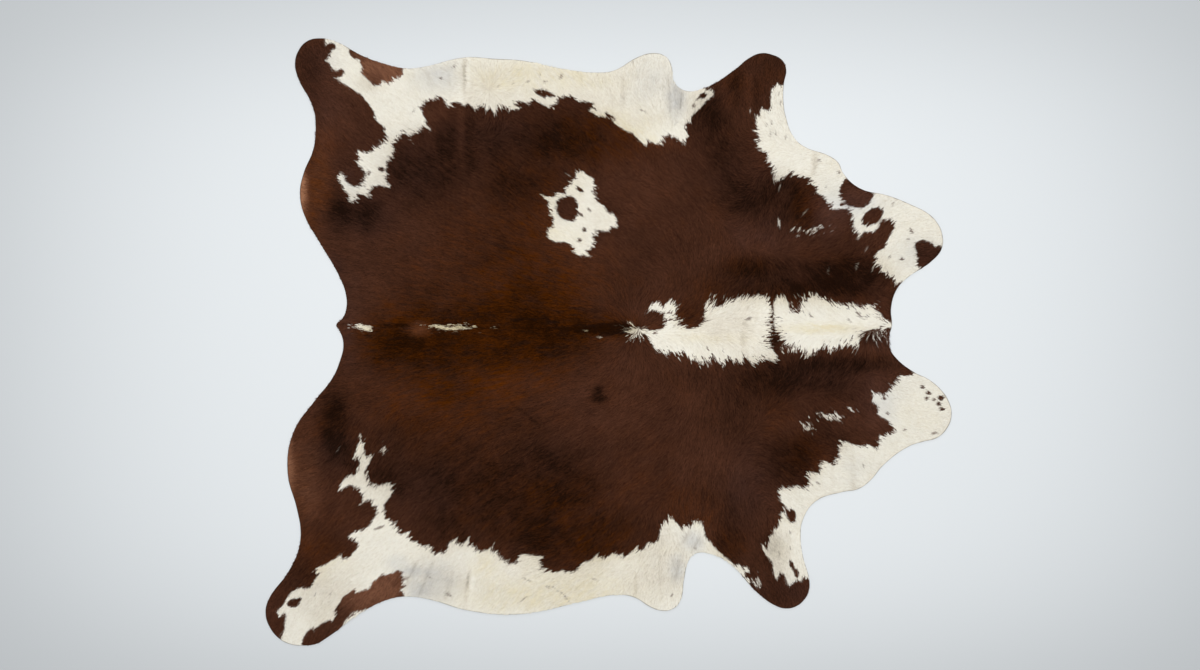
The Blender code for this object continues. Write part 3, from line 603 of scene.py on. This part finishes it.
def cloud(points, size, seed):
    """Soft noise from -1 to 1 at the points, with lumps of the given size."""
    q = points / size
    cell = np.floor(q).astype(np.int64)
    f = q - cell
    f = f * f * (3 - 2 * f)
    i, j = cell[:, 0], cell[:, 1]
    low = lattice(i, j, seed) * (1 - f[:, 0]) + lattice(i + 1, j, seed) * f[:, 0]
    high = lattice(i, j + 1, seed) * (1 - f[:, 0]) + lattice(i + 1, j + 1, seed) * f[:, 0]
    return 2 * (low * (1 - f[:, 1]) + high * f[:, 1]) - 1


def clouds(points, size, seed, layers=3):
    """Several layers of soft noise, each half the size and a bit over half the strength."""
    return sum(0.55 ** k * cloud(points, size / 2 ** k, seed + 17 * k) for k in range(layers)) / 1.6


def strands(points, way, width, seed):
    """Noise drawn out along the hair, mostly from -1 to 1, in strands of the given width."""
    return sum(cloud(points + way * step, width, seed) for step in (-1.5, -1, -0.5, 0, 0.5, 1, 1.5)) / 3


def depth_in(points, ring, far=FAR):
    """How far each point lies inside a closed ring, negative outside, up to far."""
    a = np.asarray(ring, float)
    b = np.roll(a, -1, axis=0)
    e = b - a
    length2 = np.maximum((e * e).sum(1), 1e-12)
    rise = np.where(np.abs(e[:, 1]) < 1e-12, 1e-12, e[:, 1])
    out = np.full(len(points), -far)
    near = np.nonzero(((points > a.min(0) - far) & (points < a.max(0) + far)).all(1))[0]
    for part in np.array_split(near, max(1, len(near) * len(a) // PAIRS_AT_ONCE)):
        if not len(part):
            continue
        x, y = points[part, 0][:, None], points[part, 1][:, None]
        wx, wy = x - a[:, 0], y - a[:, 1]
        t = np.clip((wx * e[:, 0] + wy * e[:, 1]) / length2, 0, 1)
        d = np.sqrt(((wx - t * e[:, 0]) ** 2 + (wy - t * e[:, 1]) ** 2).min(1))
        spans = (a[:, 1] <= y) != (b[:, 1] <= y)
        odd = (spans & (wx < wy * e[:, 0] / rise)).sum(1) % 2 == 1
        out[part] = np.where(odd, np.minimum(d, far), -np.minimum(d, far))
    return out


def fleck_depth(points, fleck):
    """How far each point lies inside a fleck, a small spindle with pointed ends."""
    x, y, long, wide, heading = fleck
    turn = math.radians(heading)
    px, py = points[:, 0] - x, points[:, 1] - y
    u = (px * math.cos(turn) + py * math.sin(turn)) / (long / 2)
    v = (py * math.cos(turn) - px * math.sin(turn)) / (wide / 2)
    return (1 - np.sqrt(u * u + v * v)) * wide / 2


def tint(points, areas):
    """The sum of soft oval areas at each point."""
    total = np.zeros(len(points))
    for x, y, wide, high, amount in areas:
        r2 = ((points[:, 0] - x) / wide) ** 2 + ((points[:, 1] - y) / high) ** 2
        total += amount * np.exp(-1.2 * r2 ** 1.3)
    return total


def whiteness(points, ragged, dice):
    """The share of white hair at each point, from 0 to 1.

    ragged are the same points moved along the hair, so that the big markings end in locks. dice, from 0
    to 1, pick the strands of the other hair where the two are mixed.
    """
    d = np.full(len(points), -FAR)
    for ring in WHITES:
        d = np.maximum(d, depth_in(ragged, ring))
    for ring in BROWNS:
        d = np.minimum(d, -depth_in((points + ragged) / 2, ring))
    d = np.maximum(d, depth_in(ragged, EDGE_CHIP))
    share = np.clip(d / BORDER + 0.5, 0, 1)
    share *= 1 - ODD_BROWN * np.clip((tint(points, SPARSE) - dice) / ODD_BORDER, 0, 1)
    share = np.maximum(share, ODD_WHITE * np.clip((tint(points, WISPS) - 1 + dice) / ODD_BORDER, 0, 1))
    for flecks, shown in ((WHITE_FLECKS, 1), (DARK_FLECKS, 0)):
        for fleck in flecks:
            strength = min(1.0, FINEST_FLECK + FLECK_GAIN * fleck[3])
            cover = np.clip(fleck_depth(points, fleck) / FLECK_BORDER + 0.5, 0, 1) * strength
            share += (shown - share) * cover
    return share


class Field:
    """A smooth quantity kept on a square grid over the hide and read back between its points."""

    def __init__(self, low, high, step, make):
        self.low, self.step = np.asarray(low, float), step
        self.shape = tuple(int(math.ceil((h - l) / step)) + 2 for l, h in zip(low, high))
        i, j = np.meshgrid(*(np.arange(n) for n in self.shape), indexing="ij")
        points = np.stack([i.ravel(), j.ravel()], 1) * step + self.low
        values = np.asarray(make(points), float)
        self.values = values.reshape(self.shape + values.shape[1:])

    def at(self, points):
        """The quantity at the points."""
        q = (points - self.low) / self.step
        cell = np.clip(np.floor(q).astype(int), 0, np.array(self.shape) - 2)
        f = np.clip(q - cell, 0, 1)
        i, j = cell[:, 0], cell[:, 1]
        fx, fy = f[:, 0], f[:, 1]
        v = self.values
        if v.ndim == 3:
            fx, fy = fx[:, None], fy[:, None]
        low = v[i, j] * (1 - fx) + v[i + 1, j] * fx
        high = v[i, j + 1] * (1 - fx) + v[i + 1, j + 1] * fx
        return low * (1 - fy) + high * fy


def unit(vectors):
    """The vectors at length 1."""
    return vectors / np.maximum(np.linalg.norm(vectors, axis=1, keepdims=True), 1e-9)


def turned(way, angle):
    """Unit vectors turned by the angles."""
    c, s = np.cos(angle), np.sin(angle)
    return np.stack([way[:, 0] * c - way[:, 1] * s, way[:, 0] * s + way[:, 1] * c], 1)


def flow(points):
    """The way the hair lies at each point, as a unit vector blended from the guides near it."""
    guides = [g for group in FLOW.values() for g in group]
    for x, y in WHORLS:
        for reach in WHORL_REACH:
            for heading in range(0, 360, 45):
                turn = math.radians(heading)
                guides.append((x + reach * math.cos(turn), y + reach * math.sin(turn), heading))
    g = np.array(guides, float)
    way = np.stack([np.cos(np.radians(g[:, 2])), np.sin(np.radians(g[:, 2]))], 1)
    out = np.empty((len(points), 2))
    for part in np.array_split(np.arange(len(points)), max(1, len(points) // POINTS_AT_ONCE)):
        d2 = ((points[part][:, None] - g[None, :, :2]) ** 2).sum(-1)
        out[part] = (1 / (d2 + 1.5) ** 1.7) @ way
    return unit(out)


def cut_edge():
    """The hide's outline, in metres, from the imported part: the rim of its upper face."""
    bm = bmesh.new()
    bm.from_mesh(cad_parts[NODE].data)
    bmesh.ops.remove_doubles(bm, verts=bm.verts, dist=1e-6)
    bm.normal_update()
    top = {f for f in bm.faces if f.normal.z > 0.7}
    rim = [e for e in bm.edges if sum(f in top for f in e.link_faces) == 1]
    after = {}
    for e in rim:
        for v in e.verts:
            after.setdefault(v, []).append(e)
    start = rim[0].verts[0]
    ring, edge, v = [], rim[0], start
    while True:
        ring.append((v.co.x, v.co.y))
        v = edge.other_vert(v)
        if v is start:
            break
        edge = next(e for e in after[v] if e is not edge)
    bm.free()
    if len(ring) != len(rim):
        raise RuntimeError("the hide's upper face has more than one rim")
    return np.array(ring)


@functools.cache
def land():
    """What the skin and the coat both read, worked out once and in centimetres.

    They are the cut edge, how far inside it each place lies, up to 30, and the hair's run.
    """
    ring = cut_edge() / CM
    low, high = ring.min(0) - 1, ring.max(0) + 1
    return {
        "ring": ring,
        "inside": Field(low, high, 0.8, lambda points: depth_in(points, ring, far=30.0)),
        "flow": Field(low, high, 1.5, flow),
    }


def crease_sum(points, narrow=1.0, darken=False):
    """The folds at each point, each a soft uneven ridge: its height, or its painted shade on the coat."""
    total = np.zeros(len(points))
    wander = 0.35 * cloud(points, 6.0, 31)
    uneven = 0.75 + 0.5 * cloud(points, 5.0, 37)
    for x0, y0, x1, y1, wide, high, dark in CREASES:
        a, e = np.array([x0, y0]), np.array([x1 - x0, y1 - y0])
        w = points - a
        t = np.clip((w @ e) / (e @ e), 0, 1)
        away = np.abs((w[:, 0] * e[1] - w[:, 1] * e[0]) / math.hypot(*e) + wander)
        end = np.linalg.norm(w - t[:, None] * e, axis=1) - away
        fade = np.clip(1 - np.abs(2 * t - 1) ** 4, 0, 1) * np.exp(-np.clip(end, 0, 50))
        total += (dark if darken else high) * uneven * fade * np.exp(-(away / (wide * narrow)) ** 2)
    return total


def lift(points):
    """Height of the skin's underside over the floor, in metres: creases, ripples and curled edges."""
    inside = land()["inside"].at(points)
    up = RIPPLE + RIPPLE * clouds(points, 17.0, 5)
    up += CURL * np.clip(cloud(points, 14.0, 9) + 0.1, 0, 1) * np.exp(-np.clip(inside, 0, 30) / CURL_REACH)
    up += crease_sum(points)
    return np.clip(up, 0.0, MOST_LIFT) * CM


def coat_facts(points, seed, ragged, uneven):
    """White, gold, cool, warm and tone of the coat at each point.

    ragged is how far, in centimetres, locks carry a marking's edge along their run, and uneven how much
    one lock differs from the next.
    """
    rng = np.random.default_rng(seed)
    way = unit(land()["flow"].at(points))
    streak = strands(points, way, 0.5, 71)
    strand = strands(points, way, 0.3, 73)
    across = np.stack([cloud(points, 1.4, 41), cloud(points, 1.4, 43)], 1)
    reach = ragged * (0.45 * streak + strand + 0.4 * uneven * rng.standard_normal(len(points)))
    dice = np.clip(0.5 + 0.6 * strand + 0.3 * uneven * (rng.random(len(points)) - 0.5), 0, 1)
    white = whiteness(points + 0.08 * across, points + 0.15 * across + way * reach[:, None], dice)
    brown = 1 - white
    fringe = 4 * white * brown
    mottle = clouds(points, 9.0, 51, 4)
    cast = {name: tint(points, areas) * (middle + swing * clouds(points, lump, noise))
            for name, (areas, middle, swing, lump, noise) in TINTS.items()}
    cast["gold"] += 0.35 * fringe
    cast["cool"] += 0.10 * clouds(points, 6.0, 62)
    cast["warm"] = (cast["warm"] + 0.12 * clouds(points, 5.0, 64)) * (1 + 0.6 * streak)
    # the folds add painted shade along them, and painted highlights where it is negative
    shade = cast.pop("shade") + crease_sum(points, narrow=0.7, darken=True)
    tone = MID_TONE + (0.03 + 0.05 * brown) * streak + (0.04 + 0.06 * brown) * mottle - 0.45 * shade
    tone += uneven * (0.03 + 0.03 * brown) * rng.standard_normal(len(points))
    cast = {name: np.clip(amount, 0, 1) for name, amount in cast.items()}
    return {"white": white, **cast, "tone": np.clip(tone, 0.02, 0.98)}


# ---------------------------------------------------------------- materials

def add(tree, kind, feeds=None, stops=(), **settings):
    """A node with its settings.

    feeds sets or links its inputs, where a node stands for its first output. stops are a ramp's places
    and colours.
    """
    made = tree.nodes.new(kind)
    for name, value in settings.items():
        setattr(made, name, value)
    for socket, value in (feeds or {}).items():
        if isinstance(value, bpy.types.Node):
            value = value.outputs[0]
        if isinstance(value, bpy.types.NodeSocket):
            tree.links.new(value, made.inputs[socket])
        else:
            made.inputs[socket].default_value = value
    if stops:
        ramp = made.color_ramp
        while len(ramp.elements) < len(stops):
            ramp.elements.new(0.5)
        for element, (place, colour) in zip(ramp.elements, stops):
            element.position, element.color = place, colour
    return made


def material(name):
    """An empty node material."""
    made = bpy.data.materials.new(name)
    made.use_nodes = True
    made.node_tree.nodes.clear()
    return made


def surface(made, feeds):
    """Ends a material in one shader with these inputs."""
    tree = made.node_tree
    shader = add(tree, "ShaderNodeBsdfPrincipled", feeds)
    add(tree, "ShaderNodeOutputMaterial", {"Surface": shader})
    return made


def grained(made, grain, colour, least, most, depth, feeds):
    """Ends a material of the hide: its grain varies the roughness from least to most, and stands up.

    depth is the strength of the relief and its height in metres.
    """
    tree = made.node_tree
    rough = add(tree, "ShaderNodeMapRange", {0: grain, 3: least, 4: most})
    relief = add(tree, "ShaderNodeBump", {"Height": grain, "Strength": depth[0], "Distance": depth[1]})
    return surface(made, {"Base Color": colour, "Roughness": rough, "Normal": relief, **feeds})


def coat_colour(tree, look, grain, contrast, shift):
    """The colour of the hair from the coat's facts.

    Its tone is moved by contrast times the grain, plus shift.
    """
    fact = {n: add(tree, "ShaderNodeAttribute", attribute_name=n).outputs["Fac"]
            for n in ("tone", "white", "gold", "cool", "warm")}
    spread = add(tree, "ShaderNodeMath", {0: grain, 1: contrast, 2: shift}, operation="MULTIPLY_ADD")
    tone = add(tree, "ShaderNodeMath", {0: fact["tone"], 1: spread}, operation="ADD")
    # each kind of hair, from its shaded roots to its lit tips
    kinds = {
        "brown": ((0.0, look.brown_deep), (0.5, look.brown), (1.0, look.brown_light)),
        "orange": ((0.0, linear("1C0A01")), (0.5, look.orange), (1.0, linear("723707"))),
        "plum": ((0.0, linear("180D09")), (0.5, look.plum), (1.0, linear("614135"))),
        "golden": ((0.0, linear("3C241A")), (0.5, look.gold), (1.0, linear("AC7A5C"))),
        "white": (
            (0.0, look.white_deep), (0.3, linear("E2DACB")), (0.5, look.white), (1.0, linear("FBF8F0")),
        ),
        "cream": ((0.0, linear("C2B48F")), (0.5, linear("E9DFC3")), (1.0, linear("F4EDD8"))),
        "grey": ((0.0, linear("A9A5A0")), (0.5, look.white_cool), (1.0, linear("E9E8E5"))),
    }
    hair = {kind: add(tree, "ShaderNodeValToRGB", {"Fac": tone}, stops=stops)
            for kind, stops in kinds.items()}
    # the kind below, the fact that says how much of the one above covers it, and the one above
    for below, share, above in [
        ("brown", "warm", "orange"), ("brown", "cool", "plum"), ("brown", "gold", "golden"),
        ("white", "warm", "cream"), ("white", "cool", "grey"), ("brown", "white", "white"),
    ]:
        hair[below] = add(tree, "ShaderNodeMix", {0: fact[share], 6: hair[below], 7: hair[above]},
                          data_type="RGBA").outputs[2]
    return hair["brown"]


# Hair that lies flat mirrors little light, and its shine is warm.
HAIR_SHINE = {"Specular IOR Level": 0.02, "Specular Tint": linear("FFD9A0")}


def coat_material(look):
    """Short cattle hair: a smooth keratin fibre that lies flat, so it shines softly and along its run."""
    made = material("cattle_hair")
    tree = made.node_tree
    # single hairs are under 0.1 mm; these are drawn 0.3 mm wide so that they show
    along = add(tree, "ShaderNodeUVMap", uv_map="lock")
    drawn_out = add(tree, "ShaderNodeMapping", {"Vector": along, "Scale": (9.0, 1.2, 1.0)})
    fibre = add(tree, "ShaderNodeTexNoise", {
        "Vector": drawn_out, "Scale": 1.0, "Detail": 2.0, "Roughness": 0.6}, noise_dimensions="2D")
    colour = coat_colour(tree, look, fibre, 0.42, -0.21)
    return grained(made, fibre, colour, 0.46, 0.72, (0.35, 0.3 * MM), {"IOR": 1.55, **HAIR_SHINE})


def skin_material(look):
    """The skin between the locks: full of hair roots, so it takes the coat's colour, matt and darker as
    painted shade under the hair.
    """
    made = material("hair_roots_on_skin")
    tree = made.node_tree
    place = add(tree, "ShaderNodeTexCoord").outputs["Object"]
    # follicles sit about 0.8 mm apart and are drawn at 1.6 mm
    pores = add(tree, "ShaderNodeTexNoise", {"Vector": place, "Scale": 620.0, "Detail": 3.0})
    # the cut leaves a thin bare line, painted darker as the shadow along the edge: dark brown by brown
    # hair, grey by white
    white = add(tree, "ShaderNodeAttribute", attribute_name="white").outputs["Fac"]
    rim = add(tree, "ShaderNodeAttribute", attribute_name="rim").outputs["Fac"]
    bare = add(tree, "ShaderNodeMapRange", {0: rim, 1: 0.8, 2: 0.95})
    rim_shadow_colours = {0: white, 6: linear("2E1F17"), 7: linear("857D71")}
    line = add(tree, "ShaderNodeMix", rim_shadow_colours, data_type="RGBA").outputs[2]
    # painted shade: the skin's tone sits below the coat's
    hairy = coat_colour(tree, look, pores, 0.5, -0.35)
    colour = add(tree, "ShaderNodeMix", {0: bare, 6: hairy, 7: line}, data_type="RGBA").outputs[2]
    return grained(made, pores, colour, 0.7, 0.95, (0.5, 0.5 * MM), {"IOR": 1.5, **HAIR_SHINE})


def suede_material(look, name, fade):
    """Chrome-tanned split leather, buffed on the flesh side: a matt nap, mottled where it was shaved."""
    made = material(name)
    tree = made.node_tree
    place = add(tree, "ShaderNodeTexCoord").outputs["Object"]
    # nap about 1 mm, mottling about 40 mm
    nap = add(tree, "ShaderNodeTexNoise", {
        "Vector": place, "Scale": 900.0, "Detail": 4.0, "Roughness": 0.65})
    mottle = add(tree, "ShaderNodeTexNoise", {"Vector": place, "Scale": 25.0, "Detail": 3.0})
    both = add(tree, "ShaderNodeMath", {0: nap, 1: 0.5, 2: mottle}, operation="MULTIPLY_ADD")
    stops = [(at, tuple(c * k * fade for c in look.suede[:3]) + (1.0,))
             for at, k in ((0.45, 0.6), (0.75, 1.0), (1.0, 1.25))]
    colour = add(tree, "ShaderNodeValToRGB", {"Fac": both}, stops=stops)
    sheen = {"Sheen Weight": 0.25, "Sheen Roughness": 0.5}
    return grained(made, nap, colour, 0.82, 1.0, (0.6, 0.4 * MM), {"IOR": 1.5, **sheen})


def floor_material(look):
    """Smooth matt paint, rolled on, so it has a faint texture of 8 mm. Its colour darkens away from the
    middle as a painted falloff of the light.
    """
    made = material("painted_floor")
    tree = made.node_tree
    place = add(tree, "ShaderNodeTexCoord").outputs["Object"]
    roller = add(tree, "ShaderNodeTexNoise", {"Vector": place, "Scale": 120.0, "Detail": 2.0})
    bump = add(tree, "ShaderNodeBump", {"Height": roller, "Strength": 0.04, "Distance": 1 * MM})
    shrink = (1 / LIT_OVAL_HALF[0], 1 / LIT_OVAL_HALF[1], 1.0)
    oval = add(tree, "ShaderNodeMapping", {"Vector": place, "Scale": shrink})
    square = add(tree, "ShaderNodeVectorMath", {0: oval, 1: oval}, operation="MULTIPLY")
    away = add(tree, "ShaderNodeVectorMath", {0: square}, operation="LENGTH").outputs["Value"]
    # painted light: the floor's colour falls off outside an oval round the rug
    falloff = add(tree, "ShaderNodeMapRange", {0: away, 1: 0.35, 2: 1.7}, interpolation_type="SMOOTHSTEP")
    painted_dim = tuple(FALLOFF_DIM * c for c in look.floor[:3]) + (1.0,)
    paint = add(tree, "ShaderNodeMix", {0: falloff, 6: look.floor, 7: painted_dim}, data_type="RGBA").outputs[2]
    return surface(made, {"Base Color": paint, "Roughness": 0.6, "Specular IOR Level": 0.2, "Normal": bump})


# ---------------------------------------------------------------- the pieces

def new_piece(name, mesh, *materials):
    """A mesh object at the origin with its materials, riding on the hide's body."""
    made = bpy.data.objects.new(name, mesh)
    bpy.context.collection.objects.link(made)
    for m in materials:
        mesh.materials.append(m)
    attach(made, "root")
    return made


def store(mesh, facts):
    """Keeps each fact as a point attribute of the mesh."""
    for name, values in facts.items():
        layer = mesh.attributes.new(name, "FLOAT", "POINT")
        layer.data.foreach_set("value", np.ascontiguousarray(values, dtype=np.float32))


def skin_surface(look):
    """The top of the skin, a creased sheet within the cut edge, with the coat's facts on its points."""
    ring, inside = land()["ring"], land()["inside"]
    step = look.skin_grid / CM
    low, high = ring.min(0), ring.max(0)
    rows = np.arange(low[1], high[1], step * math.sqrt(3) / 2)
    grid = np.array([(x + (step / 2 if k % 2 else 0), y)
                     for k, y in enumerate(rows) for x in np.arange(low[0], high[0], step)])
    grid = grid[inside.at(grid) > 0.45 * step]
    count = len(ring)
    flat = [Vector(p) for p in np.concatenate([ring, grid])]
    edges = [(k, (k + 1) % count) for k in range(count)]
    verts, _, faces, *_ = delaunay_2d_cdt(flat, edges, [], 1, 1e-6)
    if len(faces) < 1000:
        raise RuntimeError("the skin has no surface")
    points = np.array([tuple(v) for v in verts])
    heights = lift(points) + look.skin_thickness
    mesh = bpy.data.meshes.new("hide_skin")
    mesh.from_pydata(np.column_stack([points * CM, heights]).tolist(), [], faces)
    facts = coat_facts(points, 11, np.full(len(points), 0.4), 0.0)
    # painted shade: under brown hair the skin is darker still
    facts["tone"] = facts["tone"] * (0.75 + 0.25 * facts["white"])
    facts["rim"] = np.clip(1 - inside.at(points) / EDGE_BAND, 0, 1)
    store(mesh, facts)
    return mesh


class COWHIDE_OT_skin(bpy.types.Operator):
    """Make the tanned skin: a creased sheet with suede below"""

    bl_idname = "cowhide.skin"
    bl_label = "Skin"

    def execute(self, context):
        look = context.scene.cowhide
        mesh = skin_surface(look)
        skin = new_piece("hide_skin", mesh, skin_material(look),
                         suede_material(look, "suede_flesh_side", 1.0),
                         suede_material(look, "leather_cut_edge", 0.85))
        bpy.ops.object.select_all(action="DESELECT")
        skin.select_set(True)
        context.view_layer.objects.active = skin
        bpy.ops.object.mode_set(mode="EDIT")
        bpy.ops.mesh.select_all(action="SELECT")
        bpy.ops.mesh.normals_make_consistent(inside=False)
        bpy.ops.object.mode_set(mode="OBJECT")
        if mesh.polygons[0].normal.z < 0:
            mesh.flip_normals()
        wall = skin.modifiers.new("thickness", "SOLIDIFY")
        wall.thickness, wall.offset = look.skin_thickness, -1
        wall.material_offset, wall.material_offset_rim = 1, 2
        bpy.ops.object.modifier_apply(modifier=wall.name)
        bpy.ops.object.shade_smooth_by_angle(angle=math.radians(40))
        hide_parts(NODE)
        return {"FINISHED"}


def locks(look, rng):
    """Every lock of the coat: its root, its five corners in metres and its facts."""
    low, high = land()["ring"].min(0), land()["ring"].max(0)
    gap = look.lock_gap / CM
    i, j = np.meshgrid(np.arange(low[0], high[0], gap), np.arange(low[1], high[1], gap), indexing="ij")
    root = np.stack([i.ravel(), j.ravel()], 1)
    root += rng.uniform(-ROOT_JITTER, ROOT_JITTER, root.shape) * gap
    inside = land()["inside"].at(root)
    root, inside = root[inside > ROOT_MARGIN], inside[inside > ROOT_MARGIN]
    n = len(root)
    way = unit(land()["flow"].at(root))
    # in radians: locks stray from the hair's run in wide drifts, in tufts and one by one
    swing = 0.20 * clouds(root, 7.0, 81) + 0.16 * cloud(root, 1.6, 83) + 0.14 * rng.standard_normal(n)
    way = turned(way, swing)
    side = np.stack([-way[:, 1], way[:, 0]], 1)
    length = COAT_LENGTH + tint(root, LONGER) - tint(root, SHORTER)
    length = np.clip(length, LEAST_LENGTH, MOST_LENGTH) * rng.uniform(*LENGTH_SPREAD, n)
    # longer locks carry the edge of a marking further
    ragged = 0.25 + 0.45 * (length - 0.4) ** 1.5
    facts = coat_facts(root + way * (SEEN_AT * length)[:, None], 12, ragged, 1.0)
    # a lock that would pass the bare rim is cut back to it
    ahead = land()["inside"].at(root + way * length[:, None])
    over = np.clip(BARE_RIM - ahead, 0, None)
    length = np.maximum(length - over, np.minimum(length, inside - BARE_RIM))
    width = look.lock_width / CM * rng.uniform(*WIDTH_SPREAD, n) * (1 + 0.3 * facts["white"])
    rise = look.coat_height / CM * rng.uniform(*HEIGHT_SPREAD, n)
    rise = rise * np.clip(length / COAT_LENGTH, 0.5, 1.3)
    bend = rng.uniform(-MOST_BEND, MOST_BEND, n) * length
    roll = rng.uniform(-MOST_ROLL, MOST_ROLL, n)

    def stations(share, sideways, half, up):
        """Left and right points of every lock at a share of its length."""
        middle = root + way * (length * share)[:, None] + side * sideways[:, None]
        ground = lift(middle) / CM + look.skin_thickness / CM
        pair = []
        for sign in (-1, 1):
            xy = middle + side * (sign * half * np.cos(roll))[:, None]
            pair.append(np.column_stack([xy, ground + up + sign * half * np.sin(roll)]))
        return pair

    zero = np.zeros(n)
    foot = stations(0.0, zero, width * FOOT_WIDTH, -FOOT_SINK)
    waist = stations(WAIST, bend / 2, width / 2, rise)
    tip = stations(1.0, bend, zero, rise * TIP_HEIGHT)[0]
    corners = np.stack([*foot, *waist, tip], 1) * CM
    corners[:, :, 2] = np.maximum(corners[:, :, 2], look.skin_thickness * 0.5)
    return root, corners, facts


def lock_mesh(name, corners, facts, rng):
    """One mesh of many locks, each two triangles from foot to waist and one to the tip."""
    m = len(corners)
    lengthwise = np.array([0.0, 0.0, WAIST, WAIST, 1.0])
    mesh = bpy.data.meshes.new(name)
    mesh.vertices.add(5 * m)
    mesh.vertices.foreach_set("co", corners.astype(np.float32).ravel())
    loops = (np.array(LOCK_FACES) + 5 * np.arange(m)[:, None]).ravel().astype(np.int32)
    mesh.loops.add(9 * m)
    mesh.loops.foreach_set("vertex_index", loops)
    mesh.polygons.add(3 * m)
    mesh.polygons.foreach_set("loop_start", np.arange(0, 9 * m, 3, dtype=np.int32))
    mesh.update(calc_edges=True)
    kept = {fact: np.repeat(values, 5) for fact, values in facts.items()}
    # painted shade at each lock's foot and painted light at its tip
    kept["tone"] = kept["tone"] + np.tile((lengthwise - 0.5) * TIP_LIGHT_OVER_FOOT_SHADE, m)
    store(mesh, kept)

    def uv_map(title, uv):
        """A UV map with these places, one for each corner of each triangle."""
        layer = mesh.uv_layers.new(name=title)
        layer.data.foreach_set("uv", uv.astype(np.float32).ravel())
        return layer

    # the locks seen from above, which is the map to bake the coat through
    plan = corners.reshape(-1, 3)[loops, :2]
    uv_map("OFBake", (plan - plan.min(0)) / (plan.max(0) - plan.min(0)))
    # each lock reads the grain at a place of its own
    u = np.array([0.0, 1.0, 0.0, 1.0, 0.5]) + (GRAIN_SPAN[0] * rng.random(m))[:, None]
    v = lengthwise * GRAIN_LENGTH + (GRAIN_SPAN[1] * rng.random(m))[:, None]
    mesh.uv_layers.active = uv_map("lock", np.stack([u.ravel(), v.ravel()], 1)[loops])
    if mesh.validate():
        raise RuntimeError(f"{name} isn't a sound mesh")
    return mesh


class COWHIDE_OT_coat(bpy.types.Operator):
    """Grow the coat: locks of hair laid along the hide's own run, in five bands"""

    bl_idname = "cowhide.coat"
    bl_label = "Coat"

    def execute(self, context):
        look = context.scene.cowhide
        rng = np.random.default_rng(4)
        root, corners, facts = locks(look, rng)
        hair = coat_material(look)
        order = np.argsort(root[:, 0], kind="stable")
        for name, part in zip(BANDS, np.array_split(order, len(BANDS))):
            mesh = lock_mesh(name, corners[part], {fact: v[part] for fact, v in facts.items()}, rng)
            new_piece(name, mesh, hair)
            mesh.shade_smooth()
        return {"FINISHED"}


class COWHIDE_OT_declare(bpy.types.Operator):
    bl_idname = "cowhide.declare"
    bl_label = "Sheet facts"

    def execute(self, context):
        ring = cut_edge()
        return {"FINISHED"}


def lay_floor(look):
    """The floor, in the plane on which the rug lies."""
    bpy.ops.object.select_all(action="DESELECT")
    bpy.ops.mesh.primitive_grid_add(x_subdivisions=24, y_subdivisions=24, size=FLOOR_SIZE)
    floor = bpy.context.object
    floor.name = "studio_floor"
    floor.data.materials.append(floor_material(look))


def hang_lights(scene):
    """A faint even light from all round, and softboxes that face the rug."""
    scene.world = scene.world or bpy.data.worlds.new("studio")
    scene.world.use_nodes = True
    back = next(n for n in scene.world.node_tree.nodes if n.type == "BACKGROUND")
    back.inputs["Color"].default_value = linear("EEF3F8")
    back.inputs["Strength"].default_value = 0.30
    for name, place, size, power, code in SOFTBOXES:
        lamp = bpy.data.lights.new(name, "AREA")
        lamp.shape, lamp.energy = "RECTANGLE", power
        lamp.size, lamp.size_y = size
        lamp.color = linear(code)[:3]
        hung = bpy.data.objects.new(name, lamp)
        hung.location = place
        hung.rotation_mode = "QUATERNION"
        hung.rotation_quaternion = (-Vector(place)).to_track_quat("-Z", "Y")
        hung.visible_camera = False
        bpy.context.collection.objects.link(hung)


def set_camera(scene, look):
    """The camera, looking straight down."""
    eye = bpy.data.cameras.new("overhead_camera")
    eye.lens, eye.sensor_width = look.lens, 36
    eye.clip_start, eye.clip_end = 0.1, 100
    stand = bpy.data.objects.new("overhead_camera", eye)
    stand.location = (*CAMERA_OVER, look.camera_height)
    bpy.context.collection.objects.link(stand)
    scene.camera = stand
    scene.view_settings.view_transform = "Standard"


class COWHIDE_OT_stage(bpy.types.Operator):
    """Lay the plain floor, hang the soft lights and set the camera straight over the rug"""

    bl_idname = "cowhide.stage"
    bl_label = "Studio"

    def execute(self, context):
        look = context.scene.cowhide
        lay_floor(look)
        hang_lights(context.scene)
        set_camera(context.scene, look)
        return {"FINISHED"}


class COWHIDE_PT_panel(bpy.types.Panel):
    """The rug's parts and settings"""

    bl_idname = "COWHIDE_PT_panel"
    bl_label = "Cowhide Rug"
    bl_space_type = "VIEW_3D"
    bl_region_type = "UI"
    bl_category = "Cowhide"

    def draw(self, context):
        for name in CowhideSettings.__annotations__:
            self.layout.prop(context.scene.cowhide, name)
        for operator in OPERATORS:
            self.layout.operator(operator.bl_idname)


OPERATORS = [COWHIDE_OT_skin, COWHIDE_OT_coat, COWHIDE_OT_declare, COWHIDE_OT_stage]
CLASSES = [CowhideSettings, *OPERATORS, COWHIDE_PT_panel]


def register():
    for cls in CLASSES:
        bpy.utils.register_class(cls)
    bpy.types.Scene.cowhide = bpy.props.PointerProperty(type=CowhideSettings)


def unregister():
    del bpy.types.Scene.cowhide
    for cls in reversed(CLASSES):
        bpy.utils.unregister_class(cls)


def main():
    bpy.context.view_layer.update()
    register()
    bpy.ops.cowhide.skin()
    bpy.ops.cowhide.coat()
    bpy.ops.cowhide.declare()
    bpy.ops.cowhide.stage()


if __name__ == "__main__":
    main()
